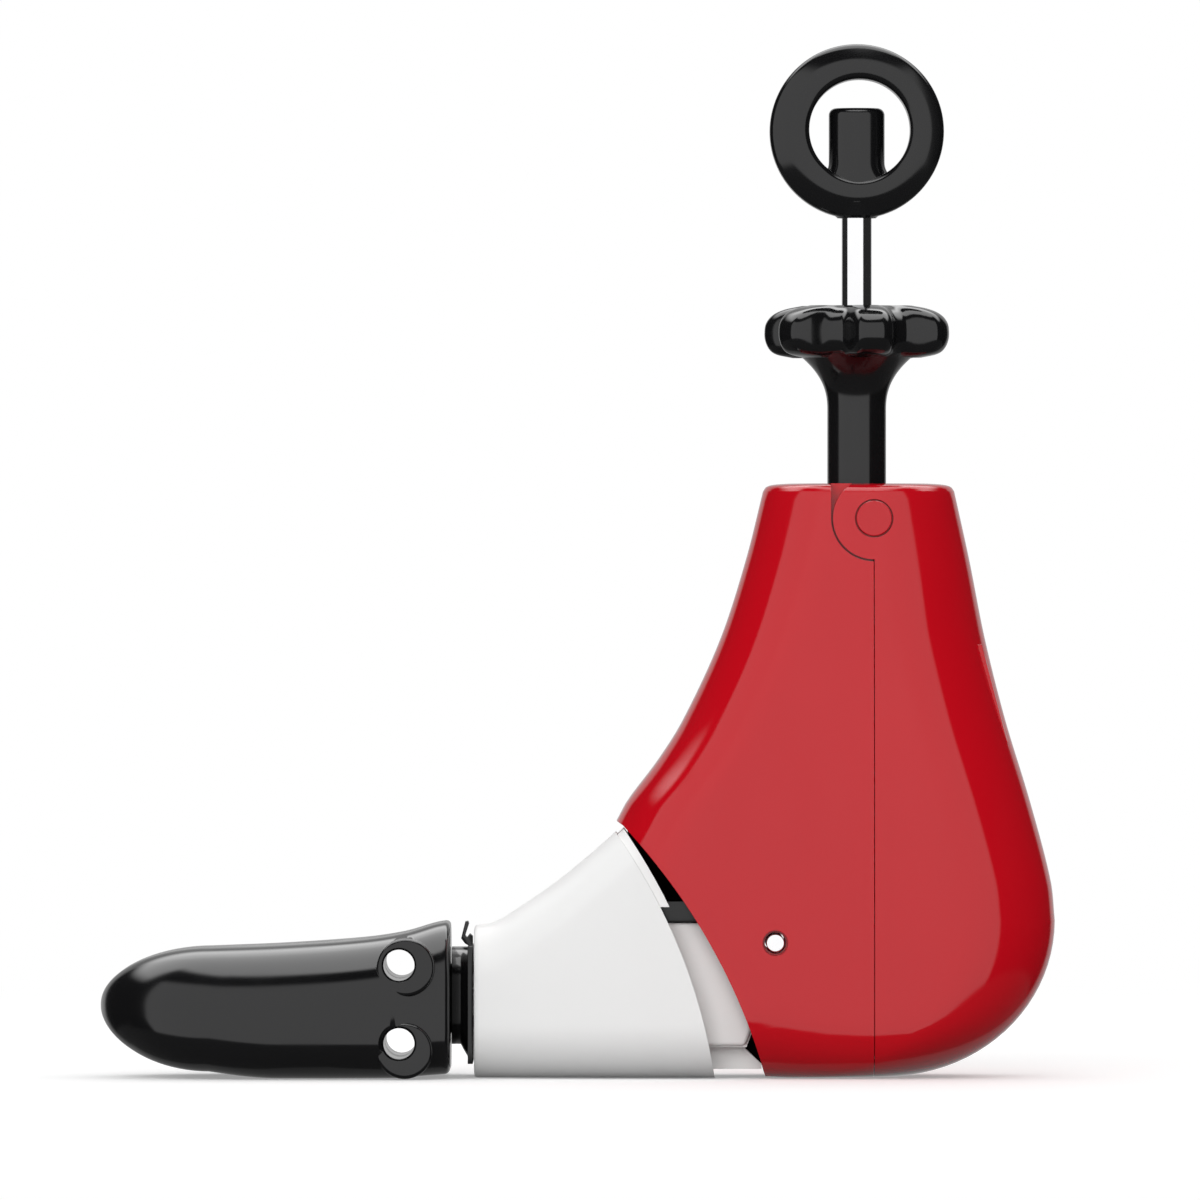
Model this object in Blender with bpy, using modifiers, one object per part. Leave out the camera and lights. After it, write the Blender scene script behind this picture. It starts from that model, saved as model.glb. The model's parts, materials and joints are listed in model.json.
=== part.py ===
"""Shoe stretcher with a split toe, a hinged heel, a star knob and a finger ring.

The toe points to -X and the heel to +X, +Z is up, the sole lies on z = 0 and the
mid plane is y = 0. The star knob drives a screw that lowers a roller block, whose
rollers push the heel's rear shell open on its top hinge. The finger ring turns the
rod inside that screw: its nut pulls a cable round a pulley on the instep pivot, and
the cable draws a wedge that spreads the two toe halves. All lengths are in metres.
"""
import math

import bmesh
import bpy
from mathutils import Matrix, Vector

MM = 0.001

# Clearances
TOUCH = 0.3 * MM
RUN = 0.4 * MM
ROOM = 0.9 * MM
REACH = 300 * MM

# Heel body: lines are (down from the top, away from the rod or the mid plane)
ROD_X = 67.0 * MM
BODY_TOP = 142.1 * MM
BODY_WALL = 2.6 * MM
BACK_LINE = ((1.9, 23.4), (18.3, 27.0), (37.5, 30.8), (56.7, 35.6), (75.9, 41.4), (95.1, 46.4), (104.7, 47.4))
FRONT_LINE = ((1.9, 22.5), (18.3, 26.6), (37.5, 32.8), (56.7, 41.7), (66.3, 47.7), (75.9, 54.9), (80.7, 57.5))
WIDTH_LINE = ((1.9, 20.6), (37.5, 24.2), (75.9, 27.6), (104.7, 28.5), (142.1, 28.5))
CROWN_DROP = 1.9 * MM
CROWN_INSET = 6.0 * MM
HEEL_FLAT = 7.0 * MM
FRONT_ROUND = 20.0 * MM
BACK_ROUND = 23.0 * MM
HEEL_CORNER_SIDES = 5
SOLE_ROUND = 14.0 * MM
MOUTH_AHEAD = 56.1 * MM
MOUTH_TOP_Z = 60.3 * MM
MOUTH_FOOT_AHEAD = 22.0 * MM
MOUTH_SAG = 4.2 * MM
MOUTH_RISE = 34.2
RIB_HALF = 5.0 * MM
RIB_LINE = ((0.7, 1.2), (1.8, -6.3), (7.1, -20.3), (16.6, -20.3), (9.1, -6.3), (3.1, 6.7))

# Rear shell hinge
HINGE_BEHIND = 3.85 * MM
HINGE_Z = 133.7 * MM
EAR_RADIUS = 9.85 * MM
COLLAR_RADIUS = 9.4 * MM
COLLAR_HALF = 13.5 * MM
HINGE_PIN_RADIUS = 2.5 * MM
HINGE_HEAD_RADIUS = 4.25 * MM
HINGE_HEAD_LENGTH = 2.8 * MM
HINGE_PIN_DEPTH = 4.6 * MM
HEEL_ANGLE = math.radians(10)

# Rod, ring and star knob
ROD_RADIUS = 3.6 * MM
ROD_FOOT_Z = 35.6 * MM
RING_Z = 226.6 * MM
RING_RADIUS = 20.9 * MM
RING_THICK = 8.8 * MM
RING_OFFSET = 0.8 * MM
RING_LEAN = math.radians(-30)
RING_DEEP = 13.0 * MM
RING_SIDES = 12
RING_COLLAR = 5.0 * MM
OVAL_POWER = 2.4
STUB_HALF_X = 6.7 * MM
STUB_HALF_Y = 4.9 * MM
STUB_RISE = 5.6 * MM
STUB_FLARE = 2.0 * MM
STUB_EDGE = 0.8 * MM
ROD_EDGE = 0.5 * MM
ROD_SOCKET = 15.0 * MM
SLEEVE_RADIUS = 6.9 * MM
SLEEVE_FOOT_Z = 108.4 * MM
SLEEVE_JOINT_Z = 139.0 * MM
STAR_TOP_Z = 184.8 * MM
STAR_RADIUS = 22.8 * MM
STAR_THICK = 12.5 * MM
STAR_LOBES = 6
STAR_POINTS = 7
STAR_TURN = math.radians(11)
STAR_VALLEY = 0.30
FLARE_RADIUS = 11.5 * MM
FLARE_HEIGHT = 13.5 * MM
TUBE_SIDES = 24

# Screw drive of the heel
TRAVEL = 18.0 * MM
NUT_HEIGHT = 9.0 * MM
NUT_RISE = 2.6 * MM
BLOCK_HEIGHT = 12.0 * MM
BLOCK_HALF = 12.6 * MM
BLOCK_FRONT = 12.2 * MM
BLOCK_BACK = 7.5 * MM
NUT_BACK = 10.0 * MM
ROLLER_RADIUS = 4.0 * MM
ROLLER_WIDTH = 3.2 * MM
ROLLER_BACK = 12.0 * MM
TONGUE_HALF = 7.8 * MM
TONGUE_TRIM = 0.6 * MM
TONGUE_WALL = 1.6 * MM
AXLE_RADIUS = 1.5 * MM
AXLE_PROUD = 0.6 * MM

# Steel frame inside the front shell
FRAME_SHEET = 2.0 * MM
FRAME_AHEAD = 17.0 * MM
FRAME_BEHIND = 9.0 * MM
FRAME_FOOT_Z = 37.6 * MM
FRAME_EAR = 6.5 * MM
BUSH_HEIGHT = 4.4 * MM
BUSH_RADIUS = 6.4 * MM
CLIP_RADIUS = 5.6 * MM
CLIP_THICK = 1.0 * MM
SCREW_RADIUS = 1.3 * MM
SCREW_HEAD_RADIUS = 2.6 * MM
SCREW_HEAD = 1.8 * MM
SCREW_GRIP = 8.0 * MM
FRAME_SCREW_ZS = (85 * MM, 112 * MM)
BOSS_RADIUS = 4.2 * MM

# Cable drive of the toe
PIVOT_AHEAD = 19.8 * MM
PIVOT_Z = 32.4 * MM
PIVOT_RADIUS = 2.2 * MM
PIVOT_RECESS = 0.9 * MM
COUNTERBORE = 3.0 * MM
COUNTERBORE_DEPTH = 3.4 * MM
PULLEY_RADIUS = 8.0 * MM
PULLEY_LIP = 1.2 * MM
PULLEY_ROOM = 1.6 * MM
PULLEY_HALF = 3.0 * MM
GROOVE_FLARE = 0.6 * MM
HUB_RADIUS = 4.2 * MM
CABLE_RADIUS = 0.7 * MM
CABLE_NUT_Z = 48.0 * MM
CABLE_NUT_HEIGHT = 10.0 * MM
CABLE_SOCKET = 6.0 * MM
CABLE_ROOM = 2.4 * MM
SOCKET_WALL = 2.0 * MM

# Springs
SPRING_WIRE = 0.4 * MM
HEEL_SPRING_RADIUS = 3.0 * MM
HEEL_SPRING_TURNS = 7
HEEL_SPRING_LENGTH = 25.0 * MM
TOE_SPRING_RADIUS = 2.3 * MM
TOE_SPRING_TURNS = 7
TOE_SPRING_HALF = 13.0 * MM
TOE_SPRING_X = -60.0 * MM
TOE_SPRING_Z = 27.2 * MM
PLUG_LENGTH = 3.5 * MM

# Instep shell: the top line is (x, z), the section is rounded all round
SHELL_FRONT_X = -24.7 * MM
SHELL_WALL = 1.7 * MM
SHELL_TOP = ((-24.7, 36.0), (-19.8, 36.8), (-12.6, 41.2), (-5.4, 46.2), (1.8, 52.0), (9.0, 58.3), (36.0, 84.0))
SHELL_SHOULDER = 12.0 * MM
SHELL_SOLE = 13.0 * MM
SHELL_HALF_FRONT = 24.0 * MM
SHELL_HALF_BACK = WIDTH_LINE[-1][1] * MM
SHELL_WIDEST_X = 20.0 * MM
SHELL_TIP_AHEAD = 38.0 * MM
SHELL_TIP_Z = 58.6 * MM
SHELL_FOOT_AHEAD = 14.4 * MM
SHELL_SAG = 3.7 * MM
SHELL_RIM = 0.7 * MM
LIP_DEPTH = (0.8 * MM, 1.6 * MM)
LIP_FOOT_Z = 41.0 * MM
LIP_REACH = 1.9 * MM
LIP_HALF = 8.0 * MM

# Hinge arm
ARM_HALF = 19.5 * MM
ARM_FRONT_TOP_Z = 29.0 * MM
ARM_CHEEK = 3.0 * MM
ARM_FOOT_Z = 7.4 * MM
ARM_WEB = 2.6 * MM
ARM_END_RADIUS = 9.1 * MM
ARM_HEEL_AHEAD = (6.8 * MM, 5.4 * MM)
ARM_HEEL_Z = 11.3 * MM
ARM_PLATE = 4.0 * MM
ARM_RAMP = 20.0 * MM
PAD_HALF = 21.8 * MM
PAD_TOP_Z = 37.0 * MM
PAD_AHEAD = 33.0 * MM
FOOT_HALF = 15.0 * MM
FOOT_Z = 2.1 * MM
FOOT_EDGE_Z = 3.3 * MM
FOOT_AHEAD = (38.0 * MM, 7.2 * MM, 3.2 * MM)
FOOT_SWING = 14.0 * MM

# Toe: lines are (x, z) or (ahead of the ball, half width)
TOE_TIP_X = -114.4 * MM
TOE_BACK_X = -30.4 * MM
TOE_BALL_X = -60.0 * MM
TOE_TIP_Z = 17.0 * MM
TOE_TOP = ((-108.4, 26.4), (-103.6, 28.8), (-98.8, 30.2), (-89.2, 31.2), (-70.0, 32.0), (-50.8, 33.4), (-41.2, 35.2),
           (-34.0, 37.0), (-30.0, 37.4))
TOE_SOLE = ((-108.4, 7.9), (-103.6, 5.3), (-98.8, 3.6), (-89.2, 1.7), (-79.6, 0.5), (-72.0, 0.0), (-43.6, 0.0),
            (-36.0, 0.6), (-30.0, 1.0))
TOE_HALF_BALL = 33.0 * MM
TOE_HALF_BACK = 27.0 * MM
TOE_SHOULDER = 9.5 * MM
TOE_SOLE_ROUND = 8.5 * MM
TOE_SPLIT = 0.5 * MM
TOE_TRAVEL = 8.0 * MM
SOCKET_RADIUS = 3.7 * MM
SOCKETS = ((-42.5 * MM, 27.2 * MM), (-42.5 * MM, 8.5 * MM))
SOCKET_BOSSES = ((-40.9 * MM, 26.6 * MM, 6.9 * MM), (-41.2 * MM, 6.75 * MM, 6.7 * MM))
SOCKET_PROUD = 0.3 * MM

# Toe core, wedge and guide rods
FLANGE_THICK = 1.2 * MM
FLANGE_HALF = 20.0 * MM
FLANGE_Z = (3.4 * MM, 31.4 * MM)
NECK_HALF = 15.0 * MM
NECK_Z = (7.9 * MM, 31.0 * MM)
NECK_ROUND = 3.0 * MM
NECK_FLARE = 2.0 * MM
NECK_STRAIGHT = 2.2 * MM
HOOK_TOP_Z = 37.2 * MM
HOOK_THICK = 2.0 * MM
HOOK_HALF = 5.0 * MM
HOOK_LAP = 2.0 * MM
SPINE_HALF = 5.0 * MM
SPINE_Z = (13.0 * MM, 23.0 * MM)
SPINE_TIP_X = -103.5 * MM
SPINE_RAIL = 2.2 * MM
ROOT_Z = (10.5 * MM, 27.0 * MM)
ROOT_FRONT_X = -38.2 * MM
WINDOW_X = (-95.5 * MM, -45.0 * MM)
WEDGE_TRAVEL = 16.0 * MM
WEDGE_X = (-90.0 * MM, -70.0 * MM)
WEDGE_TIP_HALF = 3.0 * MM
WEDGE_ROOM = 2.0 * MM
RAMP_INNER = 1.7 * MM
RAMP_BACK_X = -60.5 * MM
GUIDE_RADIUS = 1.5 * MM
GUIDE_FRONT = (-99.3 * MM, 18.0 * MM, 18.5 * MM)
GUIDE_REAR = (-34.3 * MM, 23.6 * MM, 21.0 * MM)
INSTEP_SCREWS = ((10.5 * MM, 13.0 * MM), (10.5 * MM, 26.0 * MM))
INSTEP_SCREW_DEPTH = 3.2 * MM

ROUND = 16
FINE = 32
CORNER = 4

# Places that follow from the sizes above
MOUTH_TOP = (ROD_X - MOUTH_AHEAD, MOUTH_TOP_Z)
MOUTH_FOOT_X = ROD_X - MOUTH_FOOT_AHEAD
HINGE_X = ROD_X + HINGE_BEHIND
FRAME_FRONT_X = ROD_X - FRAME_AHEAD
FRAME_BACK_X = ROD_X + FRAME_BEHIND
PIVOT_X = ROD_X - PIVOT_AHEAD
SHELL_TIP = (PIVOT_X - SHELL_TIP_AHEAD, SHELL_TIP_Z)
SHELL_FOOT_X = PIVOT_X - SHELL_FOOT_AHEAD
ARM_HEEL = (PIVOT_X - ARM_HEEL_AHEAD[0], PIVOT_X - ARM_HEEL_AHEAD[1], ARM_HEEL_Z)
PAD_FRONT_X = PIVOT_X - PAD_AHEAD
FOOT_FRONT_X = PIVOT_X - FOOT_AHEAD[0]
FOOT_BACK = (PIVOT_X - FOOT_AHEAD[2], PIVOT_X - FOOT_AHEAD[1])
BLOCK_TOP = SLEEVE_FOOT_Z - TOUCH
BLOCK_FOOT = BLOCK_TOP - BLOCK_HEIGHT
NUT_FOOT = SLEEVE_FOOT_Z + NUT_RISE
STUB_TOP_Z = RING_Z + STUB_RISE
FRAME_TOP = NUT_FOOT + NUT_HEIGHT
CAVITY_TOP = HINGE_Z - EAR_RADIUS - BODY_WALL
ROLLER_X = ROD_X + ROLLER_BACK
ROLLER_Z = BLOCK_FOOT + BLOCK_HEIGHT / 2
ROLLER_IN = TONGUE_HALF + TOUCH
ROLLER_OUT = ROLLER_IN + ROLLER_WIDTH
SEAM = TOUCH / 2
FRAME_OUT = BLOCK_HALF + TOUCH + FRAME_SHEET
CABLE_X = PIVOT_X + PULLEY_RADIUS
CABLE_LOW = PIVOT_Z - PULLEY_RADIUS
WEDGE_Z = (SPINE_Z[0] + SPINE_Z[1]) / 2
WEDGE_SLOPE = TOE_TRAVEL / WEDGE_TRAVEL
CABLE_END_X = WEDGE_X[1] - CABLE_SOCKET
BAND = (SPINE_Z[0] + SPINE_RAIL, SPINE_Z[1] - SPINE_RAIL)


def clear_scene():
    """Remove what the scene holds."""
    for item in list(bpy.data.objects):
        bpy.data.objects.remove(item, do_unlink=True)


def collection(name):
    """Make a collection under the scene's own."""
    made = bpy.data.collections.new(name)
    bpy.context.scene.collection.children.link(made)
    return made


clear_scene()
PARTS = collection("shoe_stretcher")
CUTTERS = collection("cutters")


def material(name, colour, roughness, metallic=0.0):
    """Make a Principled material."""
    made = bpy.data.materials.new(name)
    made.use_nodes = True
    shader = made.node_tree.nodes["Principled BSDF"]
    shader.inputs["Base Color"].default_value = (*colour, 1.0)
    shader.inputs["Roughness"].default_value = roughness
    shader.inputs["Metallic"].default_value = metallic
    made.diffuse_color = (*colour, 1.0)
    return made


RED = material("red_plastic", (0.56, 0.006, 0.012), 0.22)
BLACK = material("black_plastic", (0.008, 0.008, 0.009), 0.18)
WHITE = material("white_plastic", (0.86, 0.86, 0.85), 0.30)
GREY = material("grey_nylon", (0.66, 0.69, 0.67), 0.45)
CHROME = material("chromed_steel", (0.80, 0.80, 0.81), 0.08, 1.0)
STEEL = material("bright_steel", (0.58, 0.58, 0.59), 0.30, 1.0)
BRASS = material("brass", (0.70, 0.50, 0.20), 0.30, 1.0)


def link(item, target):
    """Put an object in one collection alone."""
    for old in list(item.users_collection):
        old.objects.unlink(item)
    target.objects.link(item)


def smooth(mesh):
    """Shade a mesh smooth but for its sharp edges."""
    mesh.shade_smooth()
    mesh.set_sharp_from_angle(angle=math.radians(32))


def from_bmesh(name, shape):
    """Turn a bmesh into an object that waits among the cutters."""
    bmesh.ops.recalc_face_normals(shape, faces=shape.faces)
    mesh = bpy.data.meshes.new(name)
    shape.to_mesh(mesh)
    shape.free()
    smooth(mesh)
    item = bpy.data.objects.new(name, mesh)
    CUTTERS.objects.link(item)
    item.hide_render = True
    item.display_type = "WIRE"
    return item


def part(item, name, finish, origin=(0.0, 0.0, 0.0)):
    """Make an object a named sub-part, with its origin on its joint's axis."""
    item.name = name
    item.data.name = name
    link(item, PARTS)
    item.hide_render = False
    item.display_type = "TEXTURED"
    item.data.materials.clear()
    item.data.materials.append(finish)
    item.data.transform(Matrix.Translation(-Vector(origin)))
    item.location = origin
    return item


def boolean(target, other, operation):
    """Add one exact Boolean with another object."""
    step = target.modifiers.new(other.name, "BOOLEAN")
    step.operation = operation
    step.solver = "EXACT"
    step.object = other
    return target


def cut(target, *others):
    """Take other objects away from the target."""
    for other in others:
        boolean(target, other, "DIFFERENCE")
    return target


def join(target, *others):
    """Add other objects to the target."""
    for other in others:
        boolean(target, other, "UNION")
    return target


def box(name, low, high):
    """Make a box between two corners."""
    shape = bmesh.new()
    bmesh.ops.create_cube(shape, size=1.0)
    low, high = Vector(low), Vector(high)
    size = high - low
    bmesh.ops.scale(shape, vec=size, verts=shape.verts)
    bmesh.ops.translate(shape, vec=(low + high) / 2, verts=shape.verts)
    return from_bmesh(name, shape)


TO_AXIS = {
    "x": Matrix.Rotation(math.pi / 2, 4, "Y"),
    "y": Matrix.Rotation(math.pi / 2, 4, "X"),
    "z": Matrix.Identity(4),
}


def cylinder(name, centre, radius, length, axis="z", sides=ROUND):
    """Make a cylinder about its centre, along one axis."""
    shape = bmesh.new()
    bmesh.ops.create_cone(shape, cap_ends=True, segments=sides, radius1=radius, radius2=radius, depth=length)
    bmesh.ops.transform(shape, matrix=Matrix.Translation(centre) @ TO_AXIS[axis], verts=shape.verts)
    return from_bmesh(name, shape)


def span(name, x, z, radius, y_low, y_high, sides=ROUND):
    """Make a cylinder along Y between two distances from the mid plane."""
    return cylinder(name, (x, (y_low + y_high) / 2, z), radius, y_high - y_low, "y", sides)


def turned(name, profile, x=ROD_X, sides=ROUND):
    """Turn a closed (radius, z) profile, given down its outer side, about a vertical axis."""
    mesh = bpy.data.meshes.new(name)
    points = [(radius, 0.0, z) for radius, z in profile]
    edges = [(i, i + 1) for i in range(len(points) - 1)]
    mesh.from_pydata(points, edges, [])
    item = bpy.data.objects.new(name, mesh)
    CUTTERS.objects.link(item)
    item.location = (x, 0.0, 0.0)
    screw = item.modifiers.new("turn", "SCREW")
    screw.steps = sides
    screw.render_steps = sides
    screw.use_merge_vertices = True
    screw.merge_threshold = 0.00001
    return settled(item)


def settled(item, flat=False):
    """Replace an object by the mesh that its modifiers or curve make."""
    graph = bpy.context.evaluated_depsgraph_get()
    mesh = bpy.data.meshes.new_from_object(item.evaluated_get(graph))
    mesh.transform(item.matrix_world)
    name = item.name
    bpy.data.objects.remove(item, do_unlink=True)
    shape = bmesh.new()
    shape.from_mesh(mesh)
    bmesh.ops.remove_doubles(shape, verts=shape.verts, dist=0.000005)
    bpy.data.meshes.remove(mesh)
    if flat:
        edges = shape.edges
        bmesh.ops.dissolve_limit(shape, angle_limit=math.radians(0.5), verts=shape.verts, edges=edges)
    return from_bmesh(name, shape)


def plate(name, points, y_low, y_high):
    """Extrude a closed (x, z) outline along Y."""
    curve = bpy.data.curves.new(name, "CURVE")
    curve.dimensions = "2D"
    curve.fill_mode = "BOTH"
    curve.extrude = (y_high - y_low) / 2
    spline = curve.splines.new("POLY")
    spline.points.add(len(points) - 1)
    for point, (x, z) in zip(spline.points, points):
        point.co = (x, z, 0.0, 1.0)
    spline.use_cyclic_u = True
    item = bpy.data.objects.new(name, curve)
    CUTTERS.objects.link(item)
    item.matrix_world = Matrix.Translation((0.0, (y_low + y_high) / 2, 0.0)) @ TO_AXIS["y"]
    bpy.context.view_layer.update()
    return settled(item, True)


def flat_plate(name, points, z_low, z_high):
    """Extrude a closed (x, y) outline along Z."""
    shape = bmesh.new()
    ring = [shape.verts.new((x, y, z_low)) for x, y in points]
    face = shape.faces.new(ring)
    made = bmesh.ops.extrude_face_region(shape, geom=[face])
    raised = [v for v in made["geom"] if isinstance(v, bmesh.types.BMVert)]
    bmesh.ops.translate(shape, vec=(0.0, 0.0, z_high - z_low), verts=raised)
    return from_bmesh(name, shape)


def loft(name, rings):
    """Join rings of equally many points into one closed body."""
    shape = bmesh.new()
    loops = [[shape.verts.new(point) for point in ring] for ring in rings]
    count = len(loops[0])
    for low, high in zip(loops, loops[1:]):
        for i in range(count):
            j = (i + 1) % count
            shape.faces.new((low[i], low[j], high[j], high[i]))
    shape.faces.new(loops[0])
    shape.faces.new(loops[-1])
    return from_bmesh(name, shape)


def wire(name, points, radius, resolution=0):
    """Sweep a round wire along a list of points."""
    curve = bpy.data.curves.new(name, "CURVE")
    curve.dimensions = "3D"
    curve.bevel_depth = radius
    curve.bevel_resolution = resolution
    curve.use_fill_caps = True
    spline = curve.splines.new("POLY")
    spline.points.add(len(points) - 1)
    for place, point in zip(spline.points, points):
        place.co = (*point, 1.0)
    item = bpy.data.objects.new(name, curve)
    CUTTERS.objects.link(item)
    return settled(item)


def along(line, at):
    """Read a smooth curve through the (at, value) points of a line."""
    last = len(line) - 1
    i = 0
    while i < last - 1 and at > line[i + 1][0]:
        i += 1
    (x0, y0), (x1, y1) = line[i], line[i + 1]
    before = line[i - 1] if i else line[i]
    after = line[i + 2] if i + 2 <= last else line[i + 1]
    width = x1 - x0
    slope0 = (y1 - before[1]) / (x1 - before[0])
    slope1 = (after[1] - y0) / (after[0] - x0)
    t = (at - x0) / width
    if t < 0.0:
        return y0 + slope0 * (at - x0)
    if t > 1.0:
        return y1 + slope1 * (at - x1)
    a = 2 * t ** 3 - 3 * t ** 2 + 1
    b = t ** 3 - 2 * t ** 2 + t
    c = -2 * t ** 3 + 3 * t ** 2
    d = t ** 3 - t ** 2
    return a * y0 + b * slope0 * width + c * y1 + d * slope1 * width


def arc(start, end, sag, count=10):
    """List points on a shallow arc that bulges to the right of the way from start to end."""
    start, end = Vector(start), Vector(end)
    chord = (end - start).length
    radius = chord ** 2 / (8 * sag) + sag / 2
    side = Vector((end.y - start.y, start.x - end.x)).normalized()
    side = side if side.x > 0 else -side
    centre = (start + end) / 2 + side * (sag - radius)
    first = math.atan2(start.y - centre.y, start.x - centre.x)
    turn = math.atan2(end.y - centre.y, end.x - centre.x) - first
    steps = [first + turn * i / count for i in range(count + 1)]
    return [(centre.x + radius * math.cos(a), centre.y + radius * math.sin(a)) for a in steps]


def circle(x, z, radius, first, last, count):
    """List points on a circle between two angles in degrees."""
    angles = [math.radians(first + (last - first) * i / count) for i in range(count + 1)]
    return [(x + radius * math.cos(a), z + radius * math.sin(a)) for a in angles]


def oval(half_u, half_v, count):
    """List a superelliptic outline about the origin."""
    points = []
    for i in range(count):
        u, v = math.cos(2 * math.pi * i / count), math.sin(2 * math.pi * i / count)
        u = math.copysign(abs(u) ** (2 / OVAL_POWER), u)
        v = math.copysign(abs(v) ** (2 / OVAL_POWER), v)
        points.append((half_u * u, half_v * v))
    return points


def rounded(low, high, half_low, half_high, round_low, round_high, count=CORNER):
    """List a rounded outline, symmetric about v = 0, with its own width and corner at each end."""
    points = []
    corners = (
        (high - round_high, half_high - round_high, round_high, 0),
        (low + round_low, half_low - round_low, round_low, 90),
        (low + round_low, round_low - half_low, round_low, 180),
        (high - round_high, round_high - half_high, round_high, 270),
    )
    for u, v, radius, first in corners:
        points += circle(u, v, radius, first, first + 90, count)
    return points


def half_width(z):
    """Half width of the heel body at a height."""
    return along(WIDTH_LINE, (BODY_TOP - z) / MM) * MM


def front_x(z):
    """Front of the heel body at a height."""
    return ROD_X - along(FRONT_LINE, (BODY_TOP - z) / MM) * MM


def back_x(z, inset=0.0):
    """Back of the heel body at a height: an elliptic heel below a smooth line."""
    turn = BODY_TOP - BACK_LINE[-1][0] * MM
    if z >= turn:
        return ROD_X + along(BACK_LINE, (BODY_TOP - z) / MM) * MM - inset
    reach = BACK_LINE[-1][1] * MM - HEEL_FLAT - inset
    share = min(1.0, (turn - z) / (turn - inset))
    return ROD_X + HEEL_FLAT + reach * math.sqrt(1.0 - share ** 2)


def heel_ring(z, inset=0.0, shrink=0.0):
    """One level ring of the heel body."""
    half = half_width(z) - inset - shrink
    if z < SOLE_ROUND:
        corner = SOLE_ROUND - inset
        half -= corner - math.sqrt(max(0.0, corner ** 2 - (SOLE_ROUND - z) ** 2))
    low = front_x(z) + inset + shrink
    high = back_x(z, inset) - shrink
    front = min(FRONT_ROUND - inset, 0.96 * half)
    back = min(BACK_ROUND - inset, 0.96 * half)
    outline = rounded(low, high, half, half, front, back, HEEL_CORNER_SIDES)
    return [(x, y, z) for x, y in outline]


def heel_body(name, inset=0.0, top=BODY_TOP):
    """The heel's outer form, or its hollow when it is inset."""
    turn = BODY_TOP - BACK_LINE[-1][0] * MM
    floor = [inset + (turn - inset) * (1 - math.cos(math.radians(a))) for a in (0, 12, 24, 36, 48, 60, 75, 90)]
    if inset:
        levels = 9
        rise = [turn + (top - turn) * (i + 1) / levels for i in range(levels)]
        return loft(name, [heel_ring(z, inset) for z in floor + rise])
    shoulder = top - CROWN_DROP
    levels = 10
    rise = [turn + (shoulder - turn) * (i + 1) / levels for i in range(levels)]
    rings = [heel_ring(z) for z in floor + rise]
    for share, sink in ((0.12, 0.45), (0.4, 0.15), (1.0, 0.0)):
        ring = heel_ring(shoulder, 0.0, CROWN_INSET * share)
        rings.append([(x, y, top - CROWN_DROP * sink) for x, y, z in ring])
    return loft(name, rings)


def both_sides(maker):
    """Make one thing for each side of the mid plane."""
    return [maker(-1), maker(1)]


def side_span(name, x, z, radius, near, far, side, sides=ROUND):
    """Make a cylinder along Y on one side of the mid plane."""
    low, high = sorted((side * near, side * far))
    return span(name, x, z, radius, low, high, sides)


def side_box(name, x_low, x_high, z_low, z_high, near, far, side):
    """Make a box on one side of the mid plane."""
    low, high = sorted((side * near, side * far))
    return box(name, (x_low, low, z_low), (x_high, high, z_high))


def mouth_cutter():
    """What lies ahead of the front shell's curved lower edge."""
    edge = arc(MOUTH_TOP, (MOUTH_FOOT_X, 0.0), MOUTH_SAG)
    up = MOUTH_TOP[1] + (MOUTH_TOP[0] + REACH) * math.tan(math.radians(MOUTH_RISE))
    points = [(-REACH, up)] + edge + [(MOUTH_FOOT_X, -REACH), (-REACH, -REACH)]
    return plate("mouth", points, -REACH, REACH)


def mouth_rib():
    """Middle rib that closes the mouth's upper corner behind the instep shell."""
    points = [(MOUTH_TOP[0] + x * MM, MOUTH_TOP[1] + z * MM) for x, z in RIB_LINE]
    return plate("mouth_rib", points, -RIB_HALF, RIB_HALF)


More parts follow.
